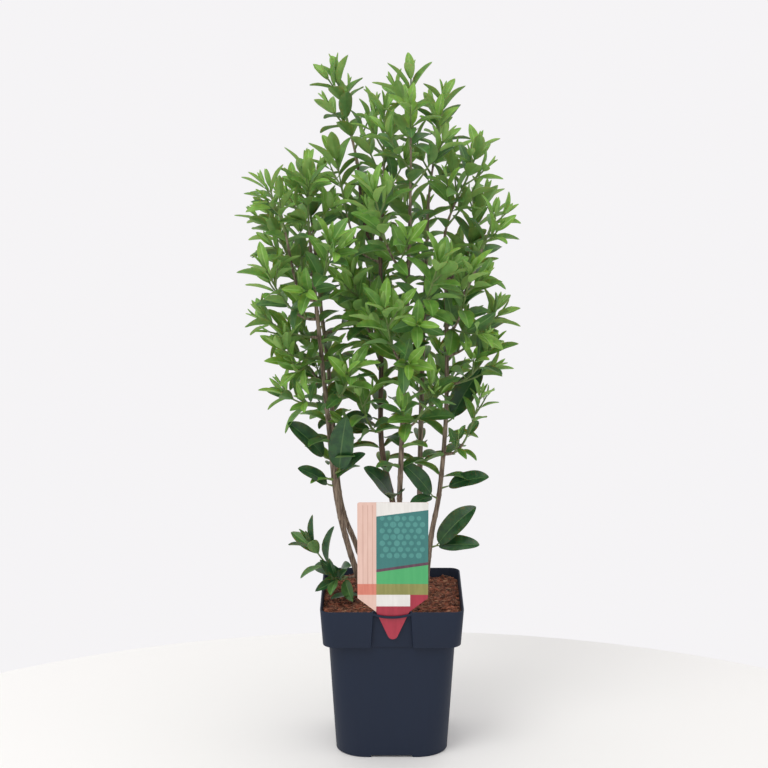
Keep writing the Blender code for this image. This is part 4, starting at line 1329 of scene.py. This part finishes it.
# %% Old leaves
OLD_WIDTH_SHARE = 0.46
OLD_FACE = Vector((0.0, -0.8, 1.0))
BUD_LENGTH = 0.006
BUD_RISE = 0.5
BUD_RADIUS = 0.0010
OLD_STALK_RADIUS = 0.0007
OLD_STALK_TO = 0.08
OLD_BLADE_FROM = 0.06
OLD_LENGTH = 1.03
OLD_LIFT = 0.45
OLD_FOLD = (0.16, 0.34)
OLD_ARCH = (0.35, 0.7)
FALLEN_ARCH = 0.4
OLD_BLADE = {"roundness": 0.66, "thickness": 0.00045, "wave": 0.06, "vein": 0.00035, "veins": 6}
FALLEN_FOOT = Vector((-0.034, -0.004, 0.1615))
FALLEN_TIP = Vector((-0.064, -0.020, 0.1640))


def old_leaf(foot, tip, face, arch, draw):
    """One large old leaf from foot to tip."""
    way = tip - foot
    length = way.length
    start = way.normalized()
    lifted = (start + face.normalized() * arch * OLD_LIFT).normalized()
    blade = blade_points(OLD_GRID, length * OLD_LENGTH, length * OLD_WIDTH_SHARE, draw.uniform(*OLD_FOLD),
                         arch, phase=draw.random(), **OLD_BLADE)
    leaf_heaps["old"].add(set_leaf(blade, foot, lifted, face).tolist(), OLD_GRID.faces, OLD_GRID.marks)


for name, (cane, height, tips) in OLD_LEAVES.items():
    draw = Random(name)
    tips = [Vector(t) for t in tips]
    middle = sum(tips, Vector()) / len(tips)
    start, outward = limbs[cane].leave(height, middle, SHOOT_FOOT_RADIUS)
    end = start + (outward + UP * BUD_RISE).normalized() * BUD_LENGTH
    petioles.add(*stalk(start, end, BUD_RADIUS))
    for tip in tips:
        petioles.add(*stalk(end, end.lerp(tip, OLD_STALK_TO), OLD_STALK_RADIUS))
        old_leaf(end.lerp(tip, OLD_BLADE_FROM), tip, OLD_FACE, draw.uniform(*OLD_ARCH), draw)
old_leaf(FALLEN_FOOT, FALLEN_TIP, UP, FALLEN_ARCH, Random("fallen"))
print("old leaves", sum(len(row[2]) for row in OLD_LEAVES.values()) + 1)

# %% Leaf finishes and pieces
# A darker and a lighter tone for the upper side and for the underside, then the midrib's tone
LEAF_TONES = {
    "fresh": (((0.150, 0.320, 0.038), (0.205, 0.410, 0.060)), ((0.215, 0.390, 0.090), (0.265, 0.450, 0.115)),
              (0.270, 0.440, 0.110)),
    "green": (((0.088, 0.225, 0.030), (0.138, 0.310, 0.044)), ((0.155, 0.310, 0.068), (0.200, 0.370, 0.088)),
              (0.190, 0.345, 0.080)),
    "deep": (((0.042, 0.132, 0.026), (0.074, 0.195, 0.036)), ((0.105, 0.230, 0.060), (0.140, 0.275, 0.076)),
             (0.125, 0.250, 0.064)),
    "old": (((0.012, 0.060, 0.018), (0.028, 0.100, 0.026)), ((0.085, 0.150, 0.055), (0.110, 0.180, 0.070)),
            (0.070, 0.145, 0.045)),
}


YOUNG_SHINE = (0.40, 0.55)
OLD_SHINE = (0.30, 0.42)
UNDER_SHINE = (0.60, 0.75)
RIB_LIGHTER = 1.1


def leaf_material(name, tones, roughness):
    """A leaf's skin: soft mottle, waxy sheen and a fine grain."""
    return finish(name, tones, (MOTTLE, 130.0, 3.0, 0.35, 0.65), roughness,
                  (MOTTLE, 1100.0, 3.0, 0.30, 0.70), (0.12, 0.0004), Subsurface_Weight=0.10,
                  Subsurface_Scale=0.002, Specular_IOR_Level=0.45)


for kind, (upper, under, rib) in LEAF_TONES.items():
    shine = OLD_SHINE if kind == "old" else YOUNG_SHINE
    materials = [leaf_material(kind + "_upper", upper, shine),
                 leaf_material(kind + "_under", under, UNDER_SHINE),
                 leaf_material(kind + "_rib", (rib, tuple(c * RIB_LIGHTER for c in rib)), shine)]
    heap = leaf_heaps[kind]
    stands_for = []
    if kind == "green":
        stands_for = [shoot.name for shoot in shoots]
    if kind == "old":
        stands_for = list(OLD_LEAVES)
    make_piece("leaves_" + kind + "_finish", heap.points, heap.faces, materials,
               "old_leaf" if kind == "old" else "young_leaf", stands_for, heap.marks)

# %% [markdown]
# ## Twigs
# A shoot is green and soft near its tip and browns towards its foot. One tube does both: its rings
# know how far they are from the tip, and the faces take the green or the grey finish from that.

# %% Build the twigs
TWIG_FLARE = 0.25
twig_heap = Heap()
for shoot in shoots:
    for number, (route, foot) in enumerate(zip(shoot.axes, shoot.radii)):
        radii = [blend(foot, TWIG_TIP_RADIUS, i / (len(route) - 1)) for i in range(len(route))]
        points, faces = bark_tube(route, radii, shoot.name + str(number), SHOOT_SIDES, TWIG_FLARE)
        whole = route_length(route)
        marks = []
        for face in faces:
            ring = face[0] // SHOOT_SIDES
            left = whole * (1.0 - ring / (len(route) - 1))
            marks.append(1 if left < GREEN_LENGTH or number > 0 else 0)
        twig_heap.add(points, faces, marks)
green_bark = finish("green_bark", ((0.120, 0.190, 0.050), (0.180, 0.250, 0.080)),
                    (STREAK, 420.0, 3.0, 0.35, 0.65), (0.45, 0.60),
                    (MOTTLE, 1800.0, 3.0, 0.30, 0.70), (0.15, 0.0003))
make_piece("shoots", twig_heap.points, twig_heap.faces, [grey_bark, green_bark], "bark", [],
           twig_heap.marks)
make_piece("leaf_stalks", petioles.points, petioles.faces, [green_bark], "young_leaf")

# %% [markdown]
# ## The plant label
# A plastic card with soft corners, whose tongue is pushed behind the pot's strap. Its print is made
# of plain shapes: a pale planked strip, a teal field with rows of round dots, an olive and a salmon
# band, a bare white panel and a crimson foot. Each colour is its own thin patch, standing just proud
# of the card.

# %% Label
LABEL_WIDTH = 0.073
LABEL_TOP = 0.285
LABEL_SHOULDER = 0.182
LABEL_TONGUE_HALF = 0.0172
LABEL_TIP = 0.137
LABEL_TIP_RADIUS = 0.0055
LABEL_THICKNESS = 0.0006
LABEL_X = 0.0008
LABEL_Y = -0.0722
LABEL_CORNER = 0.0022
INK = 0.00004
INK_DEPTH = 0.9


def arc(x, z, radius, first, last, steps=6):
    """Points of an arc in the label's plane, angles in degrees."""
    return [(x + radius * math.cos(math.radians(blend(first, last, i / steps))),
             z + radius * math.sin(math.radians(blend(first, last, i / steps)))) for i in range(steps + 1)]


def plate(outline, front, depth):
    """A thin plate whose front face is at front, seen from -Y."""
    rings = [[Vector((LABEL_X + x, y, z)) for x, z in outline] for y in (front + depth, front)]
    return loft(rings)


half = LABEL_WIDTH / 2.0
card_outline = arc(-half + LABEL_CORNER, LABEL_TOP - LABEL_CORNER, LABEL_CORNER, 90.0, 180.0)
card_outline += [(-half, LABEL_SHOULDER), (-LABEL_TONGUE_HALF, POT_HEIGHT)]
tongue_end = arc(0.0, LABEL_TIP + LABEL_TIP_RADIUS, LABEL_TIP_RADIUS, 200.0, 340.0, 12)
card_outline += tongue_end
card_outline += [(LABEL_TONGUE_HALF, POT_HEIGHT), (half, LABEL_SHOULDER)]
card_outline += arc(half - LABEL_CORNER, LABEL_TOP - LABEL_CORNER, LABEL_CORNER, 0.0, 90.0)


def print_colour(name, dark, light):
    """Gloss print in one colour with a faint grain."""
    return finish(name, (dark, light), (STREAK, 260.0, 3.0, 0.35, 0.65), (0.32, 0.42),
                  (MOTTLE, 900.0, 2.0, 0.30, 0.70), (0.04, 0.0002))


STRIP_EDGE = -0.0170
BAND_TOP = 0.1973
BAND_LOW = 0.1856
CRIMSON_TOP = 0.1730
PANEL_EDGE = 0.0180
GREEN_TOP = (0.2100, 0.2180)
PLUM_TOP = (0.2130, 0.2210)
TEAL_TOP = (0.2700, 0.2770)
PLANK_FIRST, PLANK_WIDTH, PLANK_STEP, PLANK_TOP = 0.0004, 0.0009, 0.0049, 0.003
label_card = print_colour("label_card", (0.72, 0.48, 0.40), (0.76, 0.52, 0.44))
make_piece("plant_label", *plate(card_outline, LABEL_Y - LABEL_THICKNESS / 2.0, LABEL_THICKNESS),
           [label_card], "label_card", ["label"])


DOT_SEED = 21
DOT_ROWS = 7
DOT_COLUMNS = 6
DOT_MARGIN = 0.006
DOT_HEIGHTS = (0.228, 0.268)
DOT_SIZES = (0.0022, 0.0034)


def field_dots():
    """Round dots in staggered rows for the teal field."""
    draw = Random(DOT_SEED)
    outlines = []
    for row in range(DOT_ROWS):
        for column in range(DOT_COLUMNS):
            share = (column + 0.5 * (row % 2)) / (DOT_COLUMNS - 0.5)
            x = blend(STRIP_EDGE + DOT_MARGIN, half - DOT_MARGIN, share)
            z = blend(*DOT_HEIGHTS, row / (DOT_ROWS - 1.0))
            outlines.append(arc(x, z, draw.uniform(*DOT_SIZES), 0.0, 330.0, 11))
    return outlines


def band(low, top):
    """The outline of a slanted band, from its heights at the strip and at the card's right edge."""
    return [(STRIP_EDGE, low[0]), (half, low[1]), (half, top[1]), (STRIP_EDGE, top[0])]


def plank_gap(i):
    """The outline of one dark line between two planks."""
    left = -half + PLANK_FIRST + PLANK_STEP * i
    right = -half + PLANK_FIRST + PLANK_WIDTH + PLANK_STEP * i
    top = LABEL_TOP - PLANK_TOP
    return [(left, BAND_TOP), (right, BAND_TOP), (right, top), (left, top)]


PATCHES = (
    ("print_teal", (0.030, 0.165, 0.155), (0.036, 0.185, 0.172), 1,
     [band(PLUM_TOP, TEAL_TOP)]),
    ("print_teal_light", (0.060, 0.250, 0.225), (0.075, 0.280, 0.250), 2, field_dots()),
    ("print_cream", (0.740, 0.720, 0.680), (0.800, 0.780, 0.740), 1,
     [[(STRIP_EDGE, TEAL_TOP[0]), (half, TEAL_TOP[1]), (half, LABEL_TOP - LABEL_CORNER),
       (half - LABEL_CORNER, LABEL_TOP), (STRIP_EDGE, LABEL_TOP)],
      [(STRIP_EDGE, CRIMSON_TOP), (PANEL_EDGE, CRIMSON_TOP), (PANEL_EDGE, BAND_LOW),
       (STRIP_EDGE, BAND_LOW)]]),
    ("print_plum", (0.085, 0.035, 0.060), (0.120, 0.050, 0.080), 2,
     [band(GREEN_TOP, PLUM_TOP)]),
    ("print_green", (0.060, 0.380, 0.130), (0.070, 0.400, 0.140), 1,
     [band((BAND_TOP, BAND_TOP), GREEN_TOP)]),
    ("print_olive", (0.230, 0.230, 0.060), (0.280, 0.270, 0.080), 1,
     [band((BAND_LOW, BAND_LOW), (BAND_TOP, BAND_TOP))]),
    ("print_salmon", (0.620, 0.190, 0.130), (0.680, 0.230, 0.160), 1,
     [[(-half, BAND_LOW), (STRIP_EDGE, BAND_LOW), (STRIP_EDGE, BAND_TOP), (-half, BAND_TOP)]]),
    ("print_plank", (0.600, 0.360, 0.290), (0.640, 0.400, 0.320), 1,
     [plank_gap(i) for i in range(1, 4)]),
    ("print_crimson", (0.330, 0.018, 0.040), (0.380, 0.024, 0.050), 1,
     [[(-LABEL_TONGUE_HALF, POT_HEIGHT)] + tongue_end
      + [(LABEL_TONGUE_HALF, POT_HEIGHT), (PANEL_EDGE, CRIMSON_TOP), (STRIP_EDGE, CRIMSON_TOP)],
      [(PANEL_EDGE, CRIMSON_TOP), (LABEL_TONGUE_HALF, POT_HEIGHT), (half, LABEL_SHOULDER),
       (half, BAND_LOW), (PANEL_EDGE, BAND_LOW)]]),
)
front = LABEL_Y - LABEL_THICKNESS / 2.0
for name, dark, light, layer, outlines in PATCHES:
    heap = Heap()
    for outline in outlines:
        heap.add(*plate(outline, front - INK * layer, INK * layer * INK_DEPTH))
    make_piece(name, heap.points, heap.faces, [print_colour(name, dark, light)], "label_card")
